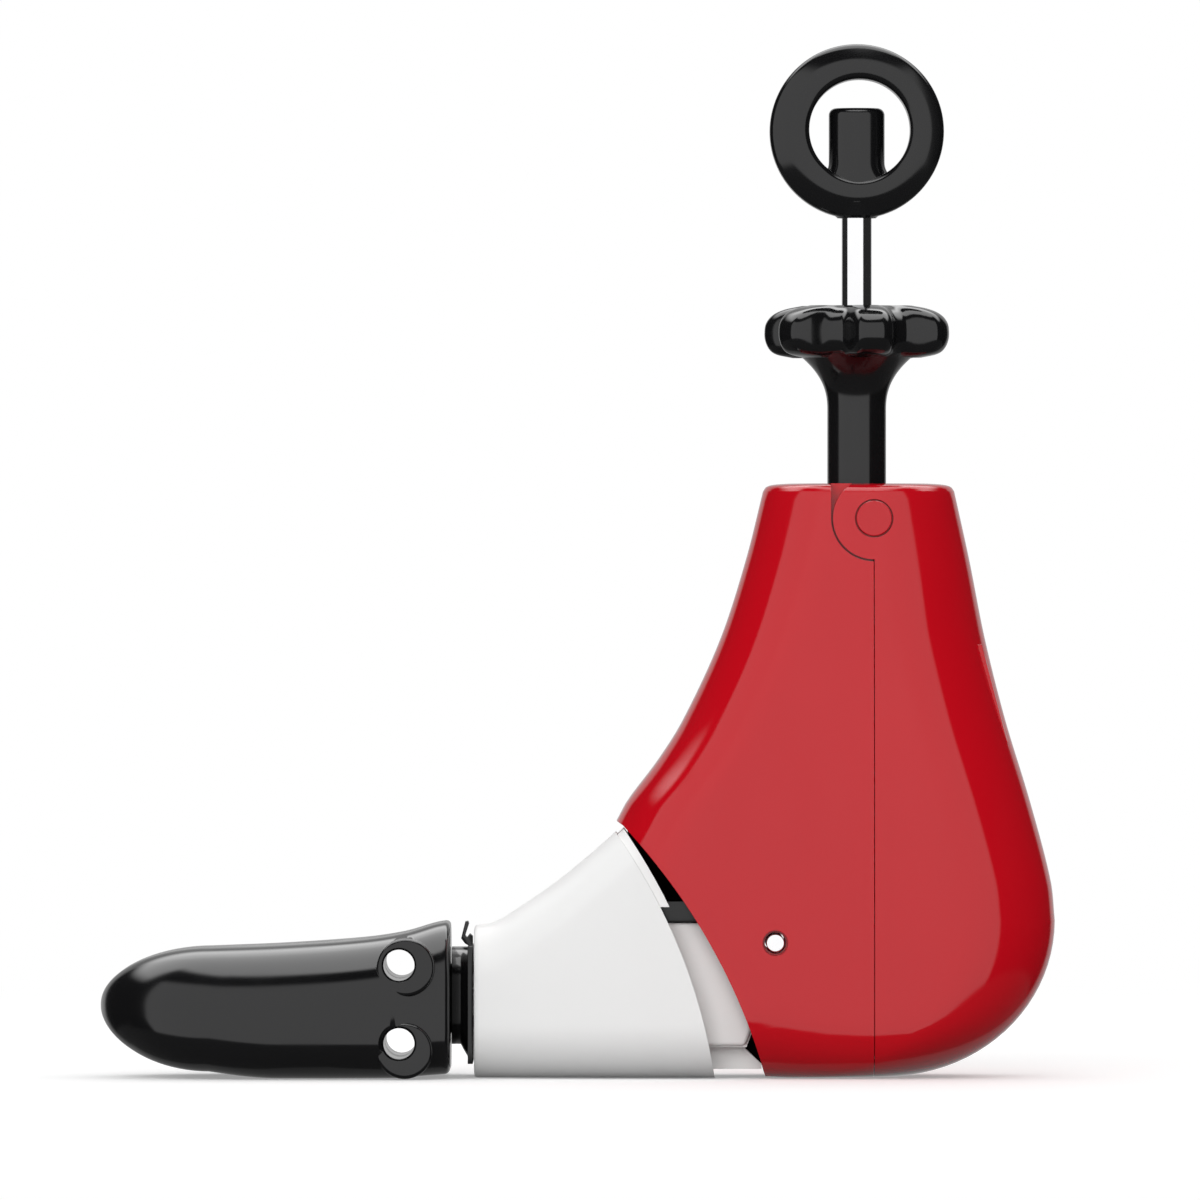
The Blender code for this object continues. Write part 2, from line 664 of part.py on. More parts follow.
def heel_front_shell():
    """Front heel shell: collar round the screw, ear pockets, pivot bores and frame bosses."""
    shell = heel_body("front_body")
    behind = box("behind_seam", (HINGE_X - SEAM, -REACH, -REACH), (REACH, REACH, REACH))
    collar = span("collar_space", HINGE_X, HINGE_Z, COLLAR_RADIUS, -COLLAR_HALF, COLLAR_HALF, FINE)
    cut(behind, collar)
    cut(shell, heel_body("front_hollow", BODY_WALL, CAVITY_TOP), behind)
    for side in (-1, 1):
        cut(shell, side_span("ear_pocket", HINGE_X, HINGE_Z, EAR_RADIUS + RUN, COLLAR_HALF, REACH, side, FINE))
        wall_x = HINGE_X - EAR_RADIUS - RUN
        cut(shell, side_box("ear_way", wall_x, HINGE_X, HINGE_Z, REACH, COLLAR_HALF, REACH, side))
        bore = COLLAR_HALF - HINGE_PIN_DEPTH - TOUCH
        cut(shell, side_span("pin_bore", HINGE_X, HINGE_Z, HINGE_PIN_RADIUS + TOUCH, bore, REACH, side))
        flank = half_width(PIVOT_Z)
        join(shell, side_span("pivot_boss", PIVOT_X, PIVOT_Z, BOSS_RADIUS, ARM_HALF + RUN, flank - BODY_WALL / 2, side))
        sink = flank - COUNTERBORE_DEPTH
        cut(shell, side_span("pivot_sink", PIVOT_X, PIVOT_Z, COUNTERBORE, sink, REACH, side))
    cut(shell, span("pivot_bore", PIVOT_X, PIVOT_Z, PIVOT_RADIUS + TOUCH, -REACH, REACH))
    cut(shell, cylinder("screw_way", (ROD_X, 0.0, BODY_TOP), SLEEVE_RADIUS + ROOM, 2 * (BODY_TOP - FRAME_TOP)))
    slot = FOOT_HALF + ROOM
    cut(shell, box("foot_slot", (MOUTH_TOP[0], -slot, -REACH), (MOUTH_FOOT_X + FOOT_SWING, slot, ARM_FOOT_Z + ROOM)))
    cut(shell, mouth_cutter())
    join(shell, mouth_rib())
    for z in FRAME_SCREW_ZS:
        start = front_x(z + BOSS_RADIUS) + BODY_WALL / 2
        end = FRAME_FRONT_X - TOUCH
        join(shell, cylinder("frame_boss", ((start + end) / 2, 0.0, z), BOSS_RADIUS, end - start, "x"))
        cut(shell, cylinder("frame_bore", (end, 0.0, z), SCREW_RADIUS + TOUCH, 2 * SCREW_GRIP + 2 * TOUCH, "x"))
    return part(shell, "heel_front_shell", RED)


def cam_points():
    """The rear shell's cam: the roller's path seen from the shell, set back by the roller."""
    path = []
    steps = 14
    for i in range(-2, steps + 2):
        down = TRAVEL * i / steps
        angle = HEEL_ANGLE * i / steps
        x, z = ROLLER_X - HINGE_X, ROLLER_Z - down - HINGE_Z
        path.append(Vector((x * math.cos(angle) + z * math.sin(angle), z * math.cos(angle) - x * math.sin(angle))))
    points = []
    for before, after in zip(path, path[1:]):
        run = (after - before).normalized()
        point = (before + after) / 2 + Vector((-run.y, run.x)) * (ROLLER_RADIUS + TOUCH)
        points.append((HINGE_X + point.x, HINGE_Z + point.y))
    return points


def cam_rib(side):
    """One cam rib from the rear wall to the roller."""
    cam = cam_points()
    top, foot = cam[0][1], cam[-1][1]
    back_top = (back_x(top) - BODY_WALL / 2, top)
    back_foot = (back_x(foot) - BODY_WALL / 2, foot)
    low, high = sorted((side * ROLLER_IN, side * ROLLER_OUT))
    return plate("cam_rib", cam + [back_foot, back_top], low, high)


def heel_rear_shell():
    """Rear heel shell: hinge ears, cam ribs and the plug of its return spring."""
    shell = heel_body("rear_body")
    ahead = box("ahead_of_seam", (-REACH, -REACH, -REACH), (HINGE_X + SEAM, REACH, REACH))
    near = COLLAR_HALF + TOUCH
    for side in (-1, 1):
        cut(ahead, side_span("ear_space", HINGE_X, HINGE_Z, EAR_RADIUS, near, REACH, side, FINE))
    cut(shell, heel_body("rear_hollow", BODY_WALL, CAVITY_TOP), ahead)
    cut(shell, span("collar_way", HINGE_X, HINGE_Z, COLLAR_RADIUS + RUN, -near, near, FINE))
    cut(shell, cylinder("screw_way", (ROD_X, 0.0, BODY_TOP), SLEEVE_RADIUS + ROOM, 2 * (BODY_TOP - FRAME_TOP)))
    join(shell, *both_sides(cam_rib))
    for side in (-1, 1):
        cut(shell, side_span("ear_bore", HINGE_X, HINGE_Z, HINGE_PIN_RADIUS + TOUCH, 0.0, REACH, side))
        flank = half_width(HINGE_Z)
        sink = flank - HINGE_HEAD_LENGTH - TOUCH
        cut(shell, side_span("ear_sink", HINGE_X, HINGE_Z, HINGE_HEAD_RADIUS + TOUCH, sink, REACH, side))
    z = heel_spring_z()
    start = heel_spring_x() + HEEL_SPRING_LENGTH - PLUG_LENGTH
    end = back_x(z) - BODY_WALL / 2
    post = start + PLUG_LENGTH + SPRING_WIRE + TOUCH
    plug = HEEL_SPRING_RADIUS - SPRING_WIRE - TOUCH
    join(shell, cylinder("spring_post", ((post + end) / 2, 0.0, z), BOSS_RADIUS, end - post, "x"))
    join(shell, cylinder("spring_plug", ((start + end) / 2, 0.0, z), plug, end - start, "x"))
    return part(shell, "heel_rear_shell", RED, (HINGE_X, 0.0, HINGE_Z))


def hinge_pin(side, name):
    """Stepped hinge pin: its head fills the ear's recess, its tip stands in the collar."""
    flank = half_width(HINGE_Z)
    under = flank - HINGE_HEAD_LENGTH
    pin = side_span(name, HINGE_X, HINGE_Z, HINGE_HEAD_RADIUS, under, flank, side)
    tip = COLLAR_HALF - HINGE_PIN_DEPTH
    join(pin, side_span("pin_shank", HINGE_X, HINGE_Z, HINGE_PIN_RADIUS, tip, under + 1 * MM, side))
    return part(pin, name, RED, (HINGE_X, 0.0, HINGE_Z))


def stub_ring(z, wider):
    """One level ring of the stub."""
    outline = oval(STUB_HALF_X + wider, STUB_HALF_Y + min(0.0, wider), RING_SIDES)
    return [(ROD_X + u, v, z) for u, v in outline]


def stub():
    """Oval stub on the ring's foot, with a flared root and a soft top."""
    inner = RING_Z - RING_RADIUS + RING_THICK
    flare, edge = STUB_FLARE, STUB_EDGE
    return loft("stub", [
        stub_ring(inner - RING_THICK / 2, 0.0), stub_ring(inner + 0.4 * flare, flare),
        stub_ring(inner + 1.2 * flare, 0.45 * flare), stub_ring(inner + 2.4 * flare, 0.0),
        stub_ring(STUB_TOP_Z - 2 * edge, 0.0), stub_ring(STUB_TOP_Z - edge / 2, -edge / 2),
        stub_ring(STUB_TOP_Z, -2 * edge)])


def ring_handle():
    """Finger ring, a little thinner towards the heel, with the stub that holds the rod."""
    thick = RING_THICK / 2
    sides = RING_SIDES
    ring = bmesh.new()
    rings = []
    for i in range(FINE):
        angle = 2 * math.pi * i / FINE
        turn = Matrix.Rotation(angle, 4, "Y")
        local = thick - RING_OFFSET / 2 * math.cos(angle - RING_LEAN)
        profile = oval(local, RING_DEEP / 2, sides)
        rings.append([ring.verts.new(turn @ Vector((RING_RADIUS - local + u, v, 0.0))) for u, v in profile])
    for i in range(FINE):
        for j in range(sides):
            k, m = (i + 1) % FINE, (j + 1) % sides
            ring.faces.new((rings[i][j], rings[i][m], rings[k][m], rings[k][j]))
    bmesh.ops.translate(ring, vec=(ROD_X, 0.0, RING_Z), verts=ring.verts)
    handle = from_bmesh("ring", ring)
    low = RING_Z - RING_RADIUS
    collar = cylinder("ring_collar", (ROD_X, 0.0, low + thick / 2 - RUN), RING_COLLAR, thick)
    join(handle, stub(), collar)
    end = low + ROD_SOCKET
    cut(handle, cylinder("rod_socket", (ROD_X, 0.0, end - REACH / 2), ROD_RADIUS + TOUCH, REACH))
    return part(handle, "ring_handle", BLACK, (ROD_X, 0.0, RING_Z))


def drive_rod():
    """Chromed rod from the ring down through the screw to its bush."""
    top = RING_Z - RING_RADIUS + ROD_SOCKET - TOUCH
    edge = ROD_EDGE
    rod = turned("rod", [(0.0, top), (ROD_RADIUS - edge, top), (ROD_RADIUS, top - edge),
                         (ROD_RADIUS, ROD_FOOT_Z + edge), (ROD_RADIUS - edge, ROD_FOOT_Z), (0.0, ROD_FOOT_Z)])
    return part(rod, "drive_rod", CHROME, (ROD_X, 0.0, ROD_FOOT_Z))


def washer(name, low, high, outer, inner):
    """Turn a flat ring about the rod."""
    return turned(name, [(outer, high), (outer, low), (inner, low), (inner, high), (outer, high)])


def rod_clip(low, name):
    """Retaining ring on the rod, above or below the bush."""
    clip = washer(name, low, low + CLIP_THICK, CLIP_RADIUS, ROD_RADIUS + TOUCH)
    return part(clip, name, STEEL, (ROD_X, 0.0, low))


def rod_bush():
    """Brass bush of the rod in the frame's foot plate."""
    bush = washer("rod_bush", FRAME_FOOT_Z, FRAME_FOOT_Z + BUSH_HEIGHT, BUSH_RADIUS, ROD_RADIUS + TOUCH)
    return part(bush, "rod_bush", BRASS)


def star_ring(z, radius, valley):
    """One level ring of the star: round lobes with soft valleys."""
    points = []
    count = STAR_LOBES * STAR_POINTS
    for i in range(count):
        angle = 2 * math.pi * i / count
        lobe = (0.5 + 0.5 * math.cos(STAR_LOBES * angle)) ** 0.62
        reach = radius * (1 - valley * (1 - lobe))
        turn = angle - math.pi / 2 + STAR_TURN
        points.append((ROD_X + reach * math.cos(turn), reach * math.sin(turn), z))
    return points


def star_knob():
    """Star knob, its trumpet flare and its tube in one moulding."""
    foot = STAR_TOP_Z - STAR_THICK
    rounds = ((0.0, 0.62), (0.06, 0.80), (0.2, 0.93), (0.42, 1.0), (0.66, 0.985), (0.82, 0.91), (0.94, 0.78), (1.0, 0.6))
    rings = [star_ring(foot + STAR_THICK * up, STAR_RADIUS * share, STAR_VALLEY) for up, share in rounds]
    knob = loft("star", rings)
    curve = []
    steps = 8
    for i in range(steps + 1):
        down = i / steps
        flare = (FLARE_RADIUS - SLEEVE_RADIUS) * (1 - down) ** 2.6
        curve.append((SLEEVE_RADIUS + flare, foot + 1 * MM - FLARE_HEIGHT * down))
    inner = ROD_RADIUS + RUN
    tube = turned("tube", [(0.0, foot + 3 * MM)] + curve + [(SLEEVE_RADIUS, SLEEVE_JOINT_Z), (0.0, SLEEVE_JOINT_Z)],
                  sides=TUBE_SIDES)
    join(knob, tube)
    cut(knob, cylinder("rod_way", (ROD_X, 0.0, STAR_TOP_Z), inner, REACH))
    return part(knob, "star_knob", BLACK, (ROD_X, 0.0, STAR_TOP_Z))


def screw_sleeve():
    """Threaded sleeve under the knob's tube, round the rod."""
    sleeve = washer("screw_sleeve", SLEEVE_FOOT_Z, SLEEVE_JOINT_Z - TOUCH, SLEEVE_RADIUS, ROD_RADIUS + RUN)
    return part(sleeve, "screw_sleeve", STEEL, (ROD_X, 0.0, SLEEVE_JOINT_Z))


def length_nut():
    """Brass nut of the sleeve, held between the frame's sides."""
    front, back = ROD_X - BLOCK_FRONT, ROD_X + NUT_BACK
    nut = box("nut", (front, -BLOCK_HALF, NUT_FOOT), (back, BLOCK_HALF, FRAME_TOP))
    cut(nut, cylinder("sleeve_way", (ROD_X, 0.0, FRAME_TOP), SLEEVE_RADIUS + TOUCH, REACH))
    return part(nut, "length_nut", BRASS)


def spreader_block():
    """Block that the sleeve pushes down, with a tongue for the roller axle."""
    block = box("block", (ROD_X - BLOCK_FRONT, -BLOCK_HALF, BLOCK_FOOT), (ROD_X + BLOCK_BACK, BLOCK_HALF, BLOCK_TOP))
    low = (ROD_X, -TONGUE_HALF, ROLLER_Z - ROLLER_RADIUS + TONGUE_TRIM)
    high = (ROLLER_X + AXLE_RADIUS + TONGUE_WALL, TONGUE_HALF, ROLLER_Z + ROLLER_RADIUS - TONGUE_TRIM)
    join(block, box("tongue", low, high))
    cut(block, cylinder("rod_way", (ROD_X, 0.0, BLOCK_TOP), ROD_RADIUS + RUN, REACH))
    cut(block, span("axle_bore", ROLLER_X, ROLLER_Z, AXLE_RADIUS + TOUCH, -REACH, REACH))
    return part(block, "spreader_block", GREY, (ROD_X, 0.0, BLOCK_TOP))


def roller_axle():
    """Steel axle of the two rollers."""
    end = ROLLER_OUT + AXLE_PROUD
    axle = span("axle", ROLLER_X, ROLLER_Z, AXLE_RADIUS, -end, end)
    return part(axle, "roller_axle", STEEL, (ROLLER_X, 0.0, ROLLER_Z))


def spreader_roller(side, name):
    """Roller that runs on one cam rib."""
    roller = side_span(name, ROLLER_X, ROLLER_Z, ROLLER_RADIUS, ROLLER_IN, ROLLER_OUT, side)
    cut(roller, span("roller_bore", ROLLER_X, ROLLER_Z, AXLE_RADIUS + TOUCH, -REACH, REACH))
    return part(roller, name, STEEL, (ROLLER_X, 0.0, ROLLER_Z))


def frame_side(side):
    """One side plate of the frame, with an ear on the pivot pin."""
    ear = circle(PIVOT_X, PIVOT_Z, FRAME_EAR, 160, 300, 8)
    bend = FRAME_SHEET / 2
    front, back = FRAME_FRONT_X + bend, FRAME_BACK_X - bend
    top, foot = FRAME_TOP - bend, FRAME_FOOT_Z + bend
    points = [(front, top), (front, PIVOT_Z + 2 * FRAME_EAR)] + ear
    points += [(front + 2 * FRAME_EAR, foot), (back, foot), (back, top)]
    low, high = sorted((side * (FRAME_OUT - FRAME_SHEET), side * FRAME_OUT))
    return plate("frame_side", points, low, high)


def inner_frame():
    """Bent steel frame: two sides, a front plate, a foot plate and the spring's plug."""
    frame = frame_side(-1)
    start = PIVOT_Z + PULLEY_RADIUS + PULLEY_LIP + PULLEY_ROOM
    wide = FRAME_OUT - FRAME_SHEET / 2
    front = box("frame_front", (FRAME_FRONT_X, -wide, start), (FRAME_FRONT_X + FRAME_SHEET, wide, FRAME_TOP))
    foot_x = CABLE_X + PULLEY_LIP + PULLEY_ROOM
    foot = box("frame_foot", (foot_x, -wide, FRAME_FOOT_Z), (FRAME_BACK_X, wide, FRAME_FOOT_Z + BUSH_HEIGHT))
    join(frame, frame_side(1), front, foot)
    cut(frame, cylinder("bush_seat", (ROD_X, 0.0, FRAME_FOOT_Z), BUSH_RADIUS + TOUCH, 4 * BUSH_HEIGHT))
    cut(frame, span("frame_pivot", PIVOT_X, PIVOT_Z, PIVOT_RADIUS + TOUCH, -REACH, REACH))
    for z in FRAME_SCREW_ZS:
        cut(frame, cylinder("frame_hole", (FRAME_FRONT_X, 0.0, z), SCREW_RADIUS + TOUCH, 4 * FRAME_SHEET, "x"))
    plug = HEEL_SPRING_RADIUS - SPRING_WIRE - TOUCH
    start, end = FRAME_BACK_X - 1 * MM, heel_spring_x() + PLUG_LENGTH
    z = heel_spring_z()
    join(frame, cylinder("frame_plug", ((start + end) / 2, 0.0, z), plug, end - start, "x"))
    return part(frame, "inner_frame", STEEL)


def screw(name, head_x, y, z, grip):
    """Pan-head screw along X, its head to the heel."""
    made = cylinder(name, (head_x + SCREW_HEAD / 2, y, z), SCREW_HEAD_RADIUS, SCREW_HEAD, "x")
    start, end = head_x - grip, head_x + SCREW_HEAD / 2
    join(made, cylinder("screw_shank", ((start + end) / 2, y, z), SCREW_RADIUS, end - start, "x"))
    return part(made, name, STEEL)


def frame_screws():
    """Screws that hold the frame to the front shell's bosses."""
    face = FRAME_FRONT_X + FRAME_SHEET + TOUCH
    grip = FRAME_SHEET + TOUCH + SCREW_GRIP
    for z, word in zip(FRAME_SCREW_ZS, ("lower", "upper")):
        screw("frame_screw_" + word, face, 0.0, z, grip)


def heel_spring_z():
    """Height of the heel's return spring."""
    return FRAME_FOOT_Z + BUSH_HEIGHT / 2


def heel_spring_x():
    """Front end of the heel's return spring."""
    return FRAME_BACK_X + TOUCH + SPRING_WIRE


def coil(start, axis, radius, length, turns, per_turn=8):
    """List the points of a coil along X or Y."""
    points = []
    for i in range(turns * per_turn + 1):
        angle = 2 * math.pi * i / per_turn
        u, v = radius * math.cos(angle), radius * math.sin(angle)
        way = length * i / (turns * per_turn)
        step = (way, u, v) if axis == "x" else (u, way, v)
        points.append(Vector(start) + Vector(step))
    return points


def heel_spring():
    """Extension spring that closes the rear shell."""
    start = (heel_spring_x(), 0.0, heel_spring_z())
    length = HEEL_SPRING_LENGTH
    spring = wire("heel_spring", coil(start, "x", HEEL_SPRING_RADIUS, length, HEEL_SPRING_TURNS), SPRING_WIRE)
    return part(spring, "heel_spring", STEEL)


def pivot_pin():
    """Steel pin of the instep joint."""
    end = half_width(PIVOT_Z) - PIVOT_RECESS
    pin = span("pin", PIVOT_X, PIVOT_Z, PIVOT_RADIUS, -end, end)
    return part(pin, "pivot_pin", CHROME, (PIVOT_X, 0.0, PIVOT_Z))


def cable_pulley():
    """Grooved pulley with a long hub between the frame's sides."""
    floor = PULLEY_RADIUS - CABLE_RADIUS - TOUCH
    lip = PULLEY_RADIUS + PULLEY_LIP
    groove = CABLE_RADIUS + TOUCH
    hub = BLOCK_HALF
    profile = [
        (0.0, hub), (HUB_RADIUS, hub), (HUB_RADIUS, PULLEY_HALF), (lip, PULLEY_HALF), (lip, groove + GROOVE_FLARE),
        (floor, groove), (floor, -groove), (lip, -groove - GROOVE_FLARE), (lip, -PULLEY_HALF),
        (HUB_RADIUS, -PULLEY_HALF), (HUB_RADIUS, -hub), (0.0, -hub)]
    pulley = turned("pulley", profile, x=0.0)
    pulley.data.transform(Matrix.Translation((PIVOT_X, 0.0, PIVOT_Z)) @ TO_AXIS["y"])
    cut(pulley, span("pulley_bore", PIVOT_X, PIVOT_Z, PIVOT_RADIUS + TOUCH, -REACH, REACH))
    return part(pulley, "cable_pulley", GREY, (PIVOT_X, 0.0, PIVOT_Z))


def cable_nut():
    """Travelling nut on the rod's thread, with the cable's socket."""
    front = CABLE_X - CABLE_RADIUS - SOCKET_WALL
    top = CABLE_NUT_Z + CABLE_NUT_HEIGHT
    nut = box("nut", (front, -BLOCK_HALF, CABLE_NUT_Z), (ROD_X + BLOCK_BACK, BLOCK_HALF, top))
    cut(nut, cylinder("rod_way", (ROD_X, 0.0, top), ROD_RADIUS + TOUCH, REACH))
    cut(nut, cylinder("cable_socket", (CABLE_X, 0.0, CABLE_NUT_Z), CABLE_RADIUS + TOUCH, 2 * CABLE_SOCKET))
    return part(nut, "cable_nut", BRASS, (ROD_X, 0.0, CABLE_NUT_Z))


def cable_slope():
    """Rise of the cable's forward run per length."""
    return (CABLE_LOW - WEDGE_Z) / (PIVOT_X - CABLE_END_X)


def cable_z(x):
    """Height of the cable's forward run."""
    return WEDGE_Z + cable_slope() * (x - CABLE_END_X)


def pull_cable():
    """Steel cable: nut, round the pulley, through the neck, to the wedge."""
    points = [(CABLE_X, 0.0, CABLE_NUT_Z + CABLE_SOCKET - TOUCH), (CABLE_X, 0.0, CABLE_NUT_Z)]
    points += [(x, 0.0, z) for x, z in circle(PIVOT_X, PIVOT_Z, PULLEY_RADIUS, 0, -90, 9)]
    points.append((CABLE_END_X + TOUCH, 0.0, WEDGE_Z))
    return part(wire("cable", points, CABLE_RADIUS, 1), "pull_cable", STEEL)


def cable_way(name, x_low, x_high, radius):
    """A bore along the cable's forward run."""
    middle = (x_low + x_high) / 2
    way = cylinder(name, (0.0, 0.0, 0.0), radius, x_high - x_low, "x")
    tilt = Matrix.Rotation(-math.atan(cable_slope()), 4, "Y")
    way.data.transform(Matrix.Translation((middle, 0.0, cable_z(middle))) @ tilt)
    return way


def shell_ring(x, inset=0.0):
    """One cross section of the instep shell."""
    top = along(SHELL_TOP, x / MM) * MM - inset
    share = min(1.0, (x - SHELL_FRONT_X) / (SHELL_WIDEST_X - SHELL_FRONT_X))
    half = SHELL_HALF_FRONT + (SHELL_HALF_BACK - SHELL_HALF_FRONT) * math.sin(share * math.pi / 2) - inset
    outline = rounded(inset, top, half, half, SHELL_SOLE - inset, SHELL_SHOULDER - inset)
    return [(x, y, z) for z, y in outline]


def shell_body(name, inset=0.0):
    """Outer form of the instep shell, or its hollow when it is inset."""
    start, end = SHELL_FRONT_X + inset, SHELL_FOOT_X + 5 * MM
    count = 10
    xs = [start + (end - start) * i / count for i in range(count + 1)]
    rings = [shell_ring(x, inset) for x in xs]
    if not inset:
        first = shell_ring(start, SHELL_RIM)
        rings[0] = shell_ring(start + SHELL_RIM, 0.0)
        rings.insert(0, [(start, y, z) for x, y, z in first])
    return loft(name, rings)


def behind_edge(name, back):
    """What lies behind the shell's curved rear edge, or so far behind it."""
    edge = arc((SHELL_TIP[0] + back, SHELL_TIP[1] + back / 2), (SHELL_FOOT_X + back, 0.0), SHELL_SAG)
    points = edge + [(SHELL_FOOT_X + back, -REACH), (REACH, -REACH), (REACH, REACH), (edge[0][0] - 3 * MM, REACH)]
    return plate(name, points, -REACH, REACH)


def shell_lip():
    """Thin lip inside the upper rear edge of both flanks."""
    lip = shell_body("lip", LIP_DEPTH[0])
    cut(lip, shell_body("lip_hollow", LIP_DEPTH[1]), behind_edge("behind_lip", LIP_REACH))
    cut(lip, box("lip_middle", (-REACH, -LIP_HALF, -REACH), (REACH, LIP_HALF, REACH)))
    cut(lip, box("lip_below", (-REACH, -REACH, -REACH), (REACH, REACH, LIP_FOOT_Z)))
    return cut(lip, box("lip_front", (-REACH, -REACH, -REACH), (SHELL_TIP[0] - 2 * LIP_REACH, REACH, REACH)))


def instep_shell():
    """White instep shell, open at the back along a curved edge."""
    shell = shell_body("instep")
    cut(shell, shell_body("instep_hollow", SHELL_WALL), behind_edge("behind_edge", 0.0))
    join(shell, shell_lip())
    cut(shell, cable_way("shell_cable_way", SHELL_FRONT_X - 5 * MM, SHELL_FRONT_X + 5 * MM, CABLE_ROOM))
    cut(shell, *instep_holes(SCREW_RADIUS + TOUCH, SHELL_FRONT_X - 10 * MM, SHELL_FRONT_X + 10 * MM))
    return part(shell, "instep_shell", WHITE)


def instep_holes(radius, x_low, x_high):
    """Cylinders along X at the instep screws' places."""
    holes = []
    for y, z in INSTEP_SCREWS:
        for side in (-1, 1):
            centre = ((x_low + x_high) / 2, side * y, z)
            holes.append(cylinder("instep_hole", centre, radius, x_high - x_low, "x"))
    return holes


def arm_outline():
    """Side view of the hinge arm: round about the pivot, cut at its lower back corner."""
    start = SHELL_FRONT_X + SHELL_WALL + TOUCH
    top = PIVOT_Z + ARM_END_RADIUS
    slope_x = start + ARM_RAMP
    points = [(start, ARM_FOOT_Z), (ARM_HEEL[0], ARM_FOOT_Z), (ARM_HEEL[1], ARM_HEEL[2])]
    points += circle(PIVOT_X, PIVOT_Z, ARM_END_RADIUS, -25, 90, 10)
    return points + [(slope_x, top), (start, ARM_FRONT_TOP_Z)]


def arm_pad(side):
    """Raised pad on one cheek of the arm, ahead of the pivot."""
    foot, back = ARM_FOOT_Z + TOUCH, ARM_HEEL[1] - TOUCH
    points = [(PAD_FRONT_X, foot), (ARM_HEEL[0] - TOUCH, foot), (back, ARM_HEEL[2]), (back, PAD_TOP_Z),
              (PAD_FRONT_X, PAD_TOP_Z)]
    low, high = sorted((side * (ARM_HALF - ARM_CHEEK / 2), side * PAD_HALF))
    return plate("arm_pad", points, low, high)


def hinge_arm():
    """Grey arm: a channel inside the instep shell whose cheeks turn on the pivot pin."""
    arm = plate("arm", arm_outline(), -ARM_HALF, ARM_HALF)
    inner = ARM_HALF - ARM_CHEEK
    start = SHELL_FRONT_X + SHELL_WALL + TOUCH
    plate_end = start + ARM_PLATE
    cut(arm, box("arm_channel", (plate_end, -inner, ARM_FOOT_Z + ARM_WEB), (REACH, inner, REACH)))
    top = ARM_FOOT_Z + ARM_WEB / 2
    foot = plate("arm_foot", [(FOOT_FRONT_X, FOOT_Z), (FOOT_BACK[0], FOOT_Z), (FOOT_BACK[0], FOOT_EDGE_Z),
                              (FOOT_BACK[1], ARM_FOOT_Z - TOUCH), (FOOT_BACK[1] - TOUCH, top),
                              (FOOT_FRONT_X, top)], -FOOT_HALF, FOOT_HALF)
    join(arm, foot, *both_sides(arm_pad))
    cut(arm, span("arm_bore", PIVOT_X, PIVOT_Z, PIVOT_RADIUS + TOUCH, -REACH, REACH))
    cut(arm, cable_way("arm_cable_way", start - 5 * MM, start + 3 * ARM_PLATE, CABLE_ROOM))
    cut(arm, *instep_holes(SCREW_RADIUS + TOUCH, start - 5 * MM, start + 3 * ARM_PLATE))
    return part(arm, "hinge_arm", GREY, (PIVOT_X, 0.0, PIVOT_Z))


def instep_screws():
    """Four screws through arm and shell into the toe core."""
    face = SHELL_FRONT_X + SHELL_WALL + TOUCH + ARM_PLATE + TOUCH
    grip = face - (SHELL_FRONT_X - TOUCH - INSTEP_SCREW_DEPTH)
    for (y, z), row in zip(INSTEP_SCREWS, ("lower", "upper")):
        screw("instep_screw_" + row + "_left", face, -y, z, grip)
        screw("instep_screw_" + row + "_right", face, y, z, grip)


def toe_half_width(x):
    """Half width of the closed toe along its length."""
    if x <= TOE_BALL_X:
        share = min(1.0, (TOE_BALL_X - x) / (TOE_BALL_X - TOE_TIP_X))
        return TOE_HALF_BALL * (1 - share ** 2.6) ** 0.45
    share = (x - TOE_BALL_X) / (TOE_BACK_X - TOE_BALL_X)
    return TOE_HALF_BALL - (TOE_HALF_BALL - TOE_HALF_BACK) * share ** 1.6


def toe_levels(x):
    """Sole and top of the toe at one place; the tip closes on an ellipse."""
    start = TOE_TOP[0][0] * MM
    if x >= start:
        return max(0.0, along(TOE_SOLE, x / MM) * MM), along(TOE_TOP, x / MM) * MM
    share = math.sqrt(max(0.0, 1 - ((start - x) / (start - TOE_TIP_X)) ** 2)) ** 0.9
    low, high = TOE_SOLE[0][1] * MM, TOE_TOP[0][1] * MM
    return TOE_TIP_Z + (low - TOE_TIP_Z) * share, TOE_TIP_Z + (high - TOE_TIP_Z) * share


def toe_ring(x):
    """One cross section of the whole toe."""
    low, high = toe_levels(x)
    half = toe_half_width(x)
    limit = min(0.49 * (high - low), 0.96 * half)
    outline = rounded(low, high, half, half, min(TOE_SOLE_ROUND, limit), min(TOE_SHOULDER, limit))
    return [(x, y, z) for z, y in outline]


def toe_body(name):
    """Outer form of the closed toe."""
    start = TOE_TOP[0][0] * MM
    nose = [TOE_TIP_X + (start - TOE_TIP_X) * (1 - math.cos(math.radians(a))) for a in (7, 22, 38, 54, 72)]
    count = 12
    rest = [start + (TOE_BACK_X - start) * i / count for i in range(count + 1)]
    return loft(name, [toe_ring(x) for x in nose + rest])


def half_wedge(x):
    """Half width of the wedge, or of the ramps that it pushes, at one place."""
    return WEDGE_TIP_HALF + WEDGE_SLOPE * (WEDGE_X[1] - x)


